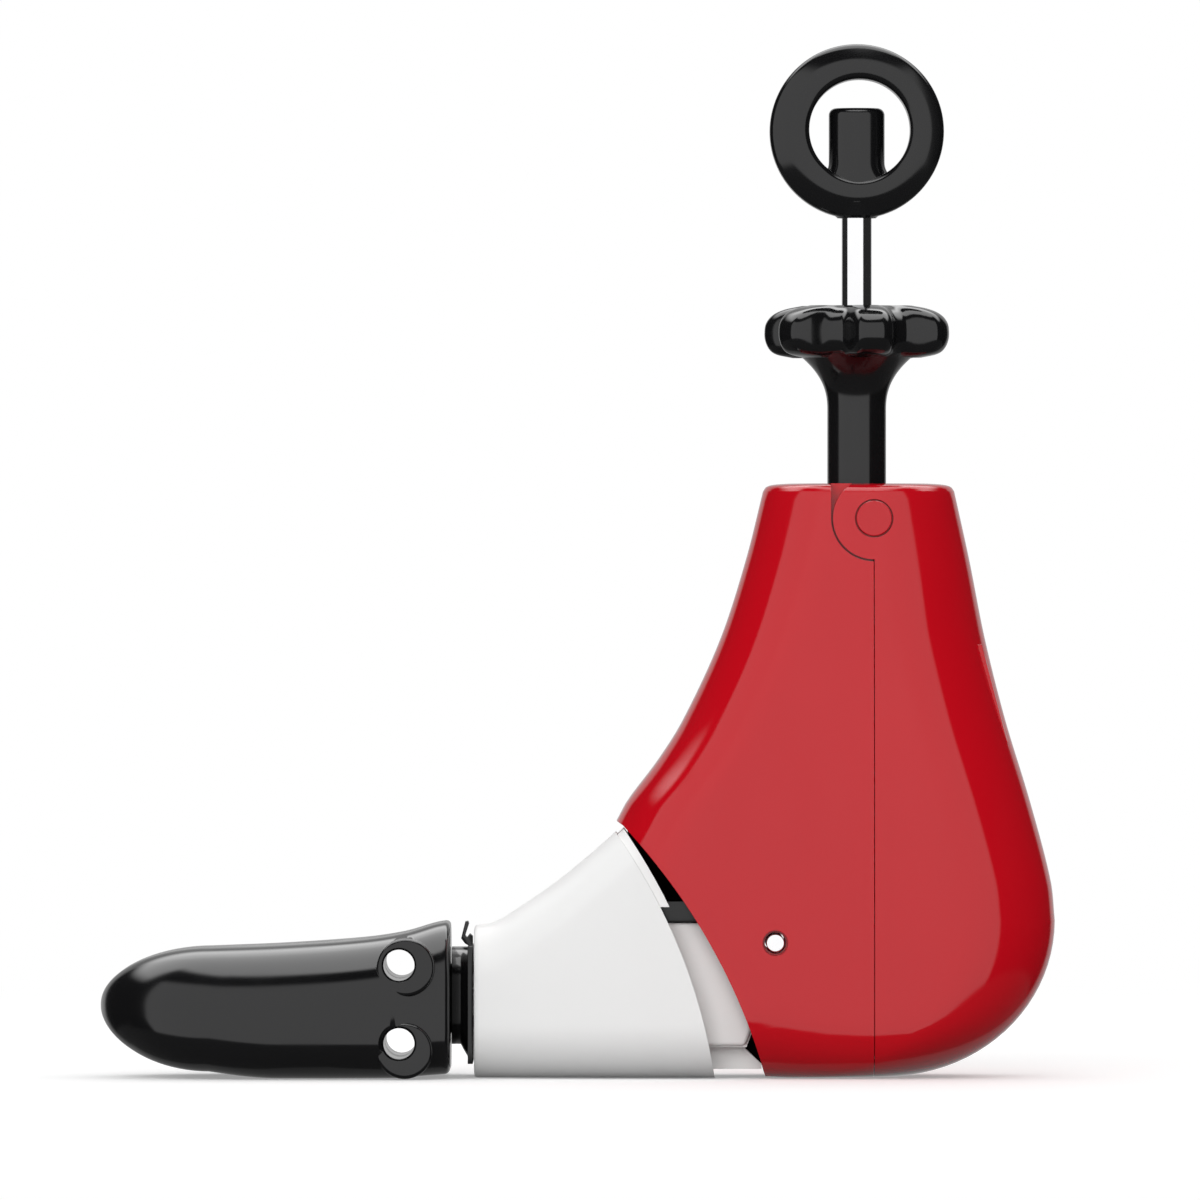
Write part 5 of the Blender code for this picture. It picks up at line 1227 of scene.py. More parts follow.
@dataclass
class Works(Assembly):
    """What the heel holds inside: frame, nuts, block, rollers, pulley, screws and cable.

    The plug is (x, length, radius), the bush (radius, height), the tongue (half width, half
    height, reach past the axle), the groove (radius, half width at the rim), the hub (radius,
    half length) and the axle (x, z, radius). A screw has a head (radius, dome), a point
    (radius, length) and a recess of crossed bars (half sizes of one).
    """

    frame_out: float = 14.9
    sheet: float = 2.0
    frame_x: Point2 = (50.0, 76.0)
    frame_z: Point2 = (37.6, 120.0)
    frame_inset: float = 1.0
    frame_arc: Point2 = (160.0, 300.0)
    arc_steps: int = 24
    frame_plug: Point3 = (77.6, 5.2, 2.3)
    foot_x: float = 58.0
    bush: Point2 = (6.4, 4.4)
    ear: float = 6.5
    edge: float = 0.3
    clip_edge: float = 0.2
    block_edge: float = 0.5
    block_back: float = 7.5
    tongue: Point3 = (7.8, 3.4, 1.6)
    pulley: float = 8.0
    pulley_room: float = 1.6
    lip: float = 1.2
    lip_half: float = 3.0
    lip_edge: float = 0.3
    groove: Point2 = (1.0, 1.6)
    groove_steps: int = 12
    hub: Point2 = (4.2, 12.6)
    axle: Point3 = (79.0, 102.1, 1.5)
    cable: float = 0.7
    cable_twist: float = 0.25
    cable_top: float = 53.7
    cable_end: Point2 = (-75.7, 18.0)
    cable_nut: Point2 = (48.0, 58.0)
    cable_socket: float = 12.0
    bend_steps: int = 40
    run_steps: int = 200
    nut_travel: float = 16.0
    head: Point2 = (2.6, 0.9)
    head_sides: int = 40
    dome_steps: int = 6
    shank: float = 1.3
    point: Point2 = (0.5, 1.4)
    recess: Point3 = (0.9, 1.7, 0.3)

    def blank(self, node: str) -> bpy.types.Object:
        """Return a block with soft edges in a node's box."""
        low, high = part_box(node)
        return soften(Form().box(low / MM, high / MM).finish(node + "_made"), self.block_edge)

    def frame(self) -> None:
        """Make the bent steel frame."""
        x, z = self.pivot
        front, back = self.frame_x
        foot, top = self.frame_z
        radius, height = self.bush
        inset, out = self.frame_inset, self.frame_out
        outline = [(front + inset, top - inset), (front + inset, z + 2 * self.ear)]
        outline += circle(x, z, self.ear, *self.frame_arc, self.arc_steps)
        outline += [(front + 2 * self.ear, foot + inset), (back - inset, foot + inset),
                    (back - inset, top - inset)]
        frame = Form().plate(outline, -out, self.sheet - out).finish("bent_frame")
        start = z + self.pulley + self.lip + self.pulley_room
        wide = out - inset
        join(frame, Form().plate(outline, out - self.sheet, out).finish("frame_side"),
             Form().box((front, -wide, start), (front + self.sheet, wide, top)).finish("frame_front"),
             Form().box((self.foot_x, -wide, foot), (back, wide, foot + height)).finish("frame_foot"))
        cut(frame, Form().rod((self.rod_x, 0.0, foot), radius + TOUCH, 4 * height).finish("bush_seat"),
            Form().span(x, z, self.pivot_radius + TOUCH, -REACH, REACH).finish("frame_pivot"))
        plug_x, length, radius = self.frame_plug
        plug = Form().rod((plug_x, 0.0, foot + height / 2), radius, length, Axis.X).finish("frame_plug")
        join(frame, plug)
        self.shop.fit(soften(frame, self.edge), "heel_front", Slot.STEEL, "inner_frame")

    def nuts(self) -> None:
        """Make both brass nuts."""
        nut = self.bore(self.blank("length_nut"), self.sleeve + TOUCH)
        self.shop.fit(nut, "heel_front", Slot.BRASS, "length_nut")
        nut = self.bore(self.blank("cable_nut"), self.rod_radius + TOUCH)
        place = (self.pivot[0] + self.pulley, 0.0, self.cable_nut[0])
        cut(nut, Form().rod(place, self.cable + TOUCH, self.cable_socket).finish("cable_socket"))
        self.shop.fit(nut, "cable_nut", Slot.BRASS, "cable_nut")

    def block(self) -> None:
        """Make the spreader's block with the tongue that holds the rollers' axle."""
        low, high = (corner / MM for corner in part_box("spreader_block"))
        x, z, radius = self.axle
        wide, tall, past = self.tongue
        block = Form().box(low, (self.rod_x + self.block_back, high.y, high.z)).finish("block_made")
        tongue = Form().box((self.rod_x, -wide, z - tall), (x + radius + past, wide, z + tall))
        soften(join(block, tongue.finish("tongue")), self.block_edge)
        cut(block, Form().span(x, z, radius + TOUCH, -REACH, REACH).finish("axle_bore"))
        block = self.bore(block, self.rod_radius + ROOM)
        self.shop.fit(block, "spreader", Slot.GREY, "spreader_block")

    def round_pieces(self) -> None:
        """Make bush, clips, axle and rollers."""
        inner = self.rod_radius + TOUCH
        self.shop.turn("rod_bush", "heel_front", Axis.Z, inner)
        for word in ("lower", "upper"):
            self.shop.turn("rod_clip_" + word, "ring", Axis.Z, inner, self.clip_edge)
        self.shop.turn("roller_axle", "spreader", Axis.Y, 0.0)
        for word in SIDE_NAMES.values():
            self.shop.turn("spreader_roller_" + word, "spreader", Axis.Y, self.axle[2] + TOUCH)

    def cable_pulley(self) -> None:
        """Make the grooved pulley with its long hub."""
        lip = self.pulley + self.lip
        inner = self.pivot_radius + TOUCH
        hub, end = self.hub
        size, half = self.groove
        groove = circle(0.0, self.pulley, size, 180, 360, self.groove_steps)
        side = [(inner, end), (hub, end), (hub, self.lip_half), (lip - self.lip_edge, self.lip_half),
                (lip, self.lip_half - self.lip_edge), (lip, half)]
        profile = side + [(v, -u) for u, v in groove] + [(r, -v) for r, v in reversed(side)] + side[:1]
        x, z = self.pivot
        pulley = Form().turned(profile, (x, 0.0, z), Axis.Y).finish("grooved_pulley")
        self.shop.fit(pulley, "pulley", Slot.GREY, "cable_pulley")

    def pull_cable(self) -> None:
        """Make the stranded cable: up to the nut, round the pulley and forward to the wedge."""
        x, z = self.pivot
        up, run_z = x + self.pulley, z - self.pulley
        rise = (self.cable_top - z) / self.bend_steps
        riser = self.strands([(up, 0.0, z + rise * i) for i in range(self.bend_steps + 1)], "cable_riser")
        ends = ((up, 0.0, z), (up, 0.0, self.cable_nut[0]))
        self.shop.stretch(riser, ("heel_front", "cable_nut"), *ends, "pull_cable")
        bend = [(u, 0.0, v) for u, v in circle(x, z, self.pulley, 0, -90, self.bend_steps)]
        self.shop.fit(self.strands(bend, "cable_bend"), "heel_front", Slot.STEEL, "pull_cable")
        end_x, end_z = self.cable_end
        start, end = Vector((x, 0.0, run_z)), Vector((end_x, 0.0, end_z))
        route = [start.lerp(end, i / self.run_steps) for i in range(self.run_steps + 1)]
        run = self.strands(route, "cable_run")
        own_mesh(run)
        self.shop.fit(run, "forepart", Slot.STEEL, "pull_cable")

    def strands(self, points: Sequence[Point3], name: str) -> bpy.types.Object:
        """Return a length of the stranded cable."""
        return Form().tube(points, self.cable, CABLE_SIDES, self.cable_twist).finish(name, WIRE_SHARP)

    def pan_screw(self, name: str, body: str) -> None:
        """Make one pan-head screw with its cross recess."""
        low, high = (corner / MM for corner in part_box(name))
        centre = (low + high) / 2
        tip, top = low.x - centre.x, high.x - centre.x
        (wide, dome), (blunt, taper) = self.head, self.point
        seat = top - 2 * dome
        rim = circle(wide - dome, seat + dome, dome, 0, 90, self.dome_steps)
        profile = [(0.0, tip), (blunt, tip), (self.shank, tip + taper), (self.shank, seat), (wide, seat)]
        profile += rim + [(0.0, top)]
        item = Form().turned(profile, centre, Axis.X, self.head_sides).finish(name + "_pan")
        reach, middle = Vector(self.recess), Vector((high.x, centre.y, centre.z))
        for cross in (reach, reach.xzy):
            cut(item, Form().box(middle - cross, middle + cross).finish("recess"))
        self.shop.fit(item, body, Slot.STEEL, name)

    def screws(self) -> None:
        """Make the frame's two screws and the instep's four."""
        for row in ("lower", "upper"):
            self.pan_screw("frame_screw_" + row, "heel_front")
        for row in ("lower", "upper"):
            for side in SIDE_NAMES.values():
                self.pan_screw(f"instep_screw_{row}_{side}", "forepart")

    def build(self) -> None:
        """Make all that lies inside the heel."""
        self.frame()
        self.nuts()
        self.block()
        self.round_pieces()
        self.cable_pulley()
        self.pull_cable()
        self.screws()


@dataclass
class Instep(Assembly):
    """The white instep shell and the grey arm inside it.

    The ways hold the (height, radius, length) of the cable's bores, and the fine and coarse
    steps are those along the shell and of one corner.
    """

    front_x: float = -24.7
    wall: float = 1.7
    top_line: Line = ((-24.7, 36.0), (-19.8, 36.8), (-12.6, 41.2), (-5.4, 46.2), (1.8, 52.0),
                      (9.0, 58.3), (36.0, 84.0))
    shoulder: float = 12.0
    sole: float = 13.0
    half_front: float = 24.0
    half_back: float = 28.5
    widest: float = 20.0
    tip: Point2 = (9.2, 58.6)
    tip_run: float = 3.0
    foot_x: float = 32.8
    foot_past: float = 5.0
    sag: float = 3.7
    rim: float = 0.7
    rim_steps: int = 4
    fine: tuple[int, int] = (48, 16)
    coarse: tuple[int, int] = (24, 12)
    shell_way: Point3 = (19.3, 2.4, 10.0)
    arm_way: Point3 = (19.9, 2.6, 12.0)
    lip_depth: Point2 = (0.8, 1.6)
    lip_foot: float = 41.0
    lip_reach: float = 1.9
    lip_half: float = 8.0
    arm_half: float = 19.5
    arm_bore: float = 2.5
    arm_screw_lead: float = 5.0
    arm_arc: Point2 = (-25.0, 125.0)
    arm_steps: int = 36
    arm_cheek: float = 3.0
    arm_foot: float = 7.4
    arm_web: float = 2.6
    arm_end: float = 9.1
    arm_heel: Point3 = (40.4, 41.8, 11.3)
    arm_front_top: float = 29.0
    arm_plate: float = 4.0
    arm_ramp: float = 20.0
    pad_half: float = 21.0
    pad_top: float = 37.0
    pad_x: float = 14.2
    pad_round: float = 1.1
    strip_half: float = 15.0
    # The arm's stop: painted shade, a matt near-black plate in the gap between the arm's foot and the heel.
    shade_stop_half: float = 12.0
    stop: Line = ((40.2, 7.0), (43.8, 3.4), (46.5, 3.4), (46.5, 11.8), (41.8, 11.8))
    # The notch lowers the arm's top so that the heel's dark stop, painted shade of the band over the arm,
    # shows there.
    notch: Point3 = (13.0, 17.0, 36.6)
    strip_z: Point2 = (2.1, 3.3)
    strip_x: Point3 = (9.2, 40.0, 44.0)

    def section(self, x: float, inset: float, count: int) -> list[Point3]:
        """Return one cross section of the shell."""
        top = along(self.top_line, x) - inset
        share = min(1.0, (x - self.front_x) / (self.widest - self.front_x))
        half = self.half_front + (self.half_back - self.half_front) * math.sin(share * math.pi / 2) - inset
        outline = rounded(inset, top, half, self.sole - inset, self.shoulder - inset, count)
        return [(x, y, z) for z, y in outline]

    def body(self, name: str, inset: float = 0.0) -> bpy.types.Object:
        """Return the outer form, or what lies so far inside it."""
        steps, count = self.coarse if inset else self.fine
        start, end = self.front_x + inset, self.foot_x + self.foot_past
        rings = [self.section(start + (end - start) * i / steps, inset, count) for i in range(steps + 1)]
        if not inset:
            rings[0] = self.section(start + self.rim, 0.0, count)
            for i in range(1, self.rim_steps + 1):
                angle = math.pi / 2 * i / self.rim_steps
                inner = self.section(start, self.rim * (1 - math.cos(angle)), count)
                x = start + self.rim * (1 - math.sin(angle))
                rings.insert(0, [(x, y, z) for _, y, z in inner])
        return Form().loft(rings).finish(name)

    def behind_edge(self, back: float) -> bpy.types.Object:
        """Return what lies behind the curved rear edge, or so far behind it."""
        foot = self.foot_x + back
        edge = arc((self.tip[0] + back, self.tip[1] + back / 2), (foot, 0.0), self.sag)
        ahead = edge[0][0] - self.tip_run
        points = edge + [(foot, -REACH), (REACH, -REACH), (REACH, REACH), (ahead, REACH)]
        return Form().plate(points, -REACH, REACH).finish("behind_edge")

    def lip(self) -> bpy.types.Object:
        """Return the thin lip inside the upper rear edge of both flanks."""
        near, far = self.lip_depth
        lip = self.body("lip", near)
        cut(lip, self.body("lip_hollow", far), self.behind_edge(self.lip_reach))
        below, front = self.lip_foot, self.tip[0] - 2 * self.lip_reach
        for low, high in (((-REACH, -self.lip_half, -REACH), (REACH, self.lip_half, REACH)),
                          ((-REACH, -REACH, -REACH), (REACH, REACH, below)),
                          ((-REACH, -REACH, -REACH), (front, REACH, REACH))):
            cut(lip, Form().box(low, high).finish("lip_end"))
        return lip

    def cable_way(self, x: float, way: Point3) -> bpy.types.Object:
        """Return the cable's bore through a wall."""
        z, radius, length = way
        return Form().rod((x, 0.0, z), radius, length, Axis.X).finish("cable_way")

    def shell(self) -> None:
        """Make the white shell."""
        shell = self.body("instep_body")
        cut(shell, self.body("instep_hollow", self.wall), self.behind_edge(0.0))
        join(shell, self.lip())
        cut(shell, self.cable_way(self.front_x, self.shell_way))
        length = self.shell_way[2]
        self.screw_ways(shell, self.front_x - length, self.front_x + length)
        shell.name = "white_instep"
        self.shop.fit(shell, "forepart", Slot.WHITE, "instep_shell")

    def pad(self, side: int) -> bpy.types.Object:
        """Return the pad with rounded edges on one cheek of the arm."""
        start, foot, top = self.pad_x, self.arm_foot + TOUCH, self.pad_top
        edge, back, heel = self.arm_heel
        outline = [(start, foot), (edge - TOUCH, foot), (back - TOUCH, heel), (back - TOUCH, top),
                   (start, top)]
        sides = beside(side, self.arm_half - self.arm_cheek / 2, self.pad_half)
        return soften(Form().plate(outline, *sides).finish("arm_pad"), self.pad_round, 4)

    def arm(self) -> None:
        """Make the grey arm: a channel whose cheeks turn on the pivot pin, with pads and a foot strip."""
        start, foot = self.front_x + self.wall + TOUCH, self.arm_foot
        top = self.pivot[1] + self.arm_end
        front, middle, back = self.notch
        outline = [(start, foot), (self.arm_heel[0], foot), self.arm_heel[1:]]
        outline += circle(*self.pivot, self.arm_end, *self.arm_arc, self.arm_steps)
        outline += [(back, self.pad_top), (middle, self.pad_top), (front, top),
                    (start + self.arm_ramp, top), (start, self.arm_front_top)]
        arm = Form().plate(outline, -self.arm_half, self.arm_half).finish("instep_arm")
        inner = self.arm_half - self.arm_cheek
        low = (start + self.arm_plate, -inner, foot + self.arm_web)
        cut(arm, Form().box(low, (REACH, inner, REACH)).finish("arm_channel"))
        join(arm, self.foot_strip(), self.pad(LEFT), self.pad(RIGHT))
        cut(arm, Form().span(*self.pivot, self.arm_bore, -REACH, REACH).finish("arm_bore"),
            self.cable_way(start + self.arm_plate / 2, self.arm_way))
        self.screw_ways(arm, start - self.arm_screw_lead, start + 3 * self.arm_plate)
        self.shade_stop_piece()
        self.shop.fit(arm, "forepart", Slot.GREY, "hinge_arm")

    def foot_strip(self) -> bpy.types.Object:
        """Return the strip under the arm, with its sloped rear end."""
        front, edge, back = self.strip_x
        low, high = self.strip_z
        over = self.arm_foot + self.arm_web / 2
        outline = [(front, low), (back, low), (back, high), (edge, self.arm_foot - TOUCH),
                   (edge - TOUCH, over), (front, over)]
        return Form().plate(outline, -self.strip_half, self.strip_half).finish("foot_strip")

    def shade_stop_piece(self) -> None:
        """Make the matt black stop that closes the arm's rear end: painted shade of the gap by the heel."""
        stop = Form().plate(self.stop, -self.shade_stop_half, self.shade_stop_half).finish("arm_shade_stop")
        self.shop.fit(stop, "forepart", Slot.BLACK, "hinge_arm", shade_liner=True)

    def build(self) -> None:
        """Make shell and arm."""
        self.shell()
        self.arm()


@dataclass
class Toe(Assembly):
    """The black split toe: two halves on a core, with the wedge and the spring between them.

    The guides and the spring hold (x, z, reach) values, the bosses (x, z, radius) values, and
    the hook's and the socket edge's points stand off the neck's face and off the socket's rim.
    """

    tip_x: float = -114.4
    back_x: float = -30.4
    face_x: float = -25.0
    ball_x: float = -60.0
    tip_z: float = 17.0
    top_line: Line = ((-88.0, 31.0), (-70.0, 31.7), (-50.8, 33.1), (-41.2, 34.6), (-34.0, 36.7),
                      (-30.0, 37.4))
    sole_line: Line = ((-88.0, 1.6), (-79.6, 0.5), (-72.0, 0.0), (-43.6, 0.0), (-36.0, 0.6),
                       (-30.0, 1.0))
    sole_power: float = 1.12
    nose_powers: Point2 = (2.6, 0.45)
    nose_arc: Point2 = (3.0, 87.0)
    nose_steps: int = 40
    body_steps: int = 64
    half_ball: float = 33.0
    half_back: float = 27.0
    half_power: float = 1.6
    shoulder: float = 14.8
    sole_round: float = 10.0
    tall_round: float = 0.49
    back_edge: float = 1.3
    edge_steps: int = 6
    split: float = 0.5
    slot: float = 5.4
    past: float = 1.0
    rails_z: Point2 = (13.0, 23.0)
    root_z: Point2 = (10.5, 27.0)
    root_x: float = -38.2
    spine_tip: float = -103.5
    rail: float = 2.2
    window: Point2 = (-95.5, -45.0)
    wedge_x: Point2 = (-90.0, -70.0)
    wedge_tip: float = 3.0
    wedge_edge: float = 0.4
    wedge_room: float = 2.0
    wedge_way: Point3 = (1.0, 1.0, 9.4)
    slope: float = 0.5
    ramp_back: float = -60.5
    ramp_inner: float = 1.7
    guides: Sequence[Point3] = ((-99.3, 18.0, 18.5), (-34.3, 23.6, 21.0))
    guide: float = 1.5
    spring: Point3 = (-60.0, 27.2, 13.0)
    spring_radius: float = 2.3
    spring_turns: float = 3.5
    spring_plug: Point2 = (3.2, 1.3)
    flange: Point3 = (1.2, 20.0, 31.4)
    flange_foot: float = 3.4
    neck: Point3 = (15.0, 7.9, 31.0)
    neck_start: float = 2.2
    neck_flare: Sequence[Point3] = ((2.4, 0.5, 3.5), (1.4, 1.2, 1.8), (0.6, 2.0, 0.0))
    neck_round: Point2 = (6.0, 10.0)
    neck_steps: int = 12
    overlap: Point2 = (1.0, 2.0)
    hook: Line = ((-1.9, 37.1), (-1.2, 37.2), (-1.0, 36.6), (-1.9, 33.8), (-1.5, 33.3),
                  (-0.8, 34.2), (-0.1, 33.6), (-0.1, 30.5), (-1.1, 30.5), (-1.2, 31.4),
                  (-2.0, 31.9), (-2.9, 33.1))
    hook_half: float = 5.0
    core_edge: float = 0.3
    core_way: Point3 = (18.6, 1.3, 40.0)
    core_way_x: float = -35.0
    core_screw_depth: float = 3.5
    socket: float = 3.7
    sockets: Line = ((-42.5, 27.2), (-42.5, 8.5))
    socket_edge: Line = ((1.3, 2.0), (1.1, 0.0), (0.45, -0.35), (0.1, -1.0))
    boss_rise: float = 0.5
    boss_inner: float = 18.0
    boss_edge: float = 1.0
    bosses: Sequence[Point3] = ((-40.9, 26.6, 6.9), (-41.2, 6.75, 6.7))

    def half(self, x: float) -> float:
        """Return the half width of the closed toe."""
        if x <= self.ball_x:
            share = min(1.0, (self.ball_x - x) / (self.ball_x - self.tip_x))
            along_x, across = self.nose_powers
            return self.half_ball * (1 - share ** along_x) ** across
        share = (x - self.ball_x) / (self.back_x - self.ball_x)
        return self.half_ball - (self.half_ball - self.half_back) * share ** self.half_power

    def levels(self, x: float) -> Point2:
        """Return the sole and top at one place."""
        start = self.top_line[0][0]
        if x >= start:
            return max(0.0, along(self.sole_line, x)), along(self.top_line, x)
        share = math.sqrt(max(0.0, 1 - ((start - x) / (start - self.tip_x)) ** 2))
        sole, top = self.sole_line[0][1] - self.tip_z, self.top_line[0][1] - self.tip_z
        return self.tip_z + sole * share ** self.sole_power, self.tip_z + top * share

    def section(self, x: float, inset: float = 0.0) -> list[Point3]:
        """Return one cross section of the whole toe."""
        low, high = self.levels(x)
        low, high, half = low + inset, high - inset, self.half(x) - inset
        limit = min(self.tall_round * (high - low), MOST_ROUND * half)
        top, sole = min(self.shoulder, limit), min(self.sole_round, limit)
        return [(x, y, z) for z, y in rounded(low, high, half, sole, top)]

    def body(self, name: str) -> bpy.types.Object:
        """Return the outer form of the closed toe."""
        start, stop = self.top_line[0][0], self.back_x - self.back_edge
        first, last = self.nose_arc
        nose = circle(start, 0.0, start - self.tip_x, 180 - first, 180 - last, self.nose_steps)
        run = (stop - start) / self.body_steps
        places = [x for x, _ in nose] + [start + run * i for i in range(self.body_steps + 1)]
        edge = circle(stop, 0.0, self.back_edge, 90, 0, self.edge_steps)[1:]
        rings = [self.section(x) for x in places] + [self.section(x, self.back_edge - v) for x, v in edge]
        return Form().loft(rings).finish(name)

    def boss(self, side: int, x: float, z: float, radius: float) -> bpy.types.Object:
        """Return the round boss about a socket, with a rounded rim."""
        face, edge = self.half(x) + self.boss_rise, self.boss_edge
        profile = [(0.0, self.boss_inner), (radius, self.boss_inner)]
        profile += circle(radius - edge, face - edge, edge, 0, 90) + [(0.0, face)]
        return sideways(profile, x, z, side, "boss")

    def toe_half(self, side: int) -> None:
        """Make one half."""
        word = SIDE_NAMES[side]
        half = self.body("toe_" + word + "_body")
        for x, z, radius in self.bosses:
            join(half, self.boss(side, x, z, radius))
        low, high = sorted((side * self.split, -side * REACH))
        other = Form().box((-REACH, low, -REACH), (REACH, high, REACH)).finish("other_side")
        cut(half, other, *self.pocket(side))
        for x, z in self.sockets:
            cut(half, Form().span(x, z, self.socket, 0.0, REACH, side, MORE_SIDES).finish("socket"))
            face = self.half(x) + self.boss_rise
            edge = [(self.socket + wider, face + rise) for wider, rise in self.socket_edge]
            edge = [(0.0, edge[0][1])] + edge + [(0.0, edge[-1][1])]
            cut(half, sideways(edge, x, z, side, "socket_edge"))
        for x, z, reach in self.guides:
            bore = Form().span(x, z, self.guide + TOUCH, -self.past, reach + TOUCH, side, BORE_SIDES)
            cut(half, bore.finish("guide_bore"))
        x, z, reach = self.spring
        room = self.spring_radius + self.wire + ROOM
        cut(half, Form().span(x, z, room, -self.past, reach + TOUCH, side).finish("spring_room"))
        plug, (before, past) = self.spring_radius - self.wire - TOUCH, self.spring_plug
        join(half, Form().span(x, z, plug, reach - before, reach + past, side).finish("spring_plug"))
        self.shop.fit(half, "toe_" + word, Slot.BLACK, "toe_half_" + word)

    def half_wedge(self, x: float) -> float:
        """Return the half width of the wedge, or of the ramps that it pushes."""
        return self.wedge_tip + self.slope * (self.wedge_x[1] - x)

    def pocket(self, side: int) -> tuple[bpy.types.Object, bpy.types.Object]:
        """Return the hollow of one half round spine and wedge, with the ramp left standing."""
        slot = self.slot
        low, high = (z + offset for z, offset in zip(self.rails_z, (-ROOM, ROOM)))
        rails = Form().box((self.spine_tip - ROOM, -slot, low), (REACH, slot, high)).finish("rails")
        first, last = self.wedge_x
        room, wide = first - self.wedge_room, self.half_wedge(first) + TOUCH / self.slope
        inner, back, root = self.ramp_inner, self.ramp_back, self.root_x
        meet = last - (inner - TOUCH - self.wedge_tip) / self.slope
        ramp = [(room, 0.0), (room, wide), (first, wide), (meet, inner), (back, inner),
                (back, slot - TOUCH), (root, slot - TOUCH), (root, 0.0)]
        low, high = self.rails_z[0] + self.rail, self.rails_z[1] - self.rail
        near, far = beside(side, inner, slot + self.past)
        tongue = Form().box((room, near, low + TOUCH), (back, far, high - TOUCH)).finish("ramp_space")
        over = [(x, side * y, low - self.past) for x, y in ramp]
        tall = (0.0, 0.0, high - low + 2 * self.past)
        cut(tongue, Form().slab(over, tall).finish("ramp_side"))
        cut(rails, tongue)
        foot, top = (z + offset for z, offset in zip(self.root_z, (-ROOM, ROOM)))
        join(rails, Form().box((root - ROOM, -slot, foot), (REACH, slot, top)).finish("root"))
        space = Form().slab([(x, y, low) for x, y, _ in over], (0.0, 0.0, high - low))
        return rails, space.finish("wedge_room")

    def wedge(self) -> None:
        """Make the grey wedge."""
        low, high = self.rails_z[0] + self.rail + TOUCH, self.rails_z[1] - self.rail - TOUCH
        (front, back), wide = self.wedge_x, self.half_wedge(self.wedge_x[0])
        points = [(front, -wide), (back, -self.wedge_tip), (back, self.wedge_tip), (front, wide)]
        wedge = Form().slab([(x, y, low) for x, y in points], (0.0, 0.0, high - low))
        wedge = soften(wedge.finish("spreading_wedge"), self.wedge_edge)
        before, radius, length = self.wedge_way
        way = Form().rod((back - before, 0.0, (low + high) / 2), radius, length, Axis.X)
        cut(wedge, way.finish("cable_way"))
        self.shop.fit(wedge, "toe_wedge", Slot.GREY, "toe_wedge")

    def core(self) -> None:
        """Make the black core: flange, neck, hook and the slotted spine."""
        thick, half, top = self.flange
        face, foot = self.face_x, self.flange_foot
        neck_half, neck_low, neck_top = self.neck
        core = Form().box((face - thick, -half, foot), (face, half, top)).finish("toe_core_made")
        start = self.back_x + TOUCH
        rows = [(start, 0.0, neck_low), (start + self.neck_start, 0.0, neck_low)]
        rows += [(face - before, wider, foot + rise) for before, wider, rise in self.neck_flare]
        rings = []
        for x, wider, low in rows:
            outline = rounded(low, neck_top, neck_half + wider, *self.neck_round, self.neck_steps)
            rings.append([(x, y, z) for z, y in outline])
        hook = [(face + u, z) for u, z in self.hook]
        slot, (more, most) = self.slot - ROOM, self.overlap
        foot, top = self.root_z
        low, high = self.rails_z
        join(core, Form().loft(rings).finish("neck"),
             Form().plate(hook, -self.hook_half, self.hook_half).finish("hook"),
             Form().box((self.root_x, -slot, foot), (start + more, slot, top)).finish("root"),
             Form().box((self.spine_tip, -slot, low), (start + most, slot, high)).finish("spine"))
        front, back = self.window
        low, high = low + self.rail, high - self.rail
        window = Form().box((front, -REACH, low), (back, REACH, high)).finish("window")
        z, radius, length = self.core_way
        way = Form().rod((self.core_way_x, 0.0, z), radius, length, Axis.X).finish("cable_way")
        cut(core, window, way)
        for x, z, reach in self.guides:
            guide = Form().span(x, z, self.guide + TOUCH, -reach, reach, sides=BORE_SIDES)
            cut(core, guide.finish("guide_way"))
        self.screw_ways(core, face - self.core_screw_depth, face + self.core_screw_depth)
        self.shop.fit(soften(core, self.core_edge), "forepart", Slot.BLACK, "toe_core")

    def steel(self) -> None:
        """Make the guide rods and the spring that closes the halves."""
        for word in ("front", "rear"):
            self.shop.turn("guide_rod_" + word, "forepart", Axis.Y, 0.0)
        x, z, reach = self.spring
        length = reach - self.wire
        for side, word in SIDE_NAMES.items():
            turns = side * self.spring_turns
            points = coil((x, 0.0, z), Axis.Y, self.spring_radius, side * length, turns, 180.0)
            spring = Form().tube(points, self.wire, WIRE_SIDES).finish("toe_spring_" + word, WIRE_SHARP)
            ends = ((x, 0.0, z), (x, side * length, z))
            self.shop.stretch(spring, ("forepart", "toe_" + word), *ends, "toe_spring")

    def build(self) -> None:
        """Make halves, core, wedge, rods and spring."""
        self.toe_half(LEFT)
        self.toe_half(RIGHT)
        self.core()
        self.wedge()
        self.steel()


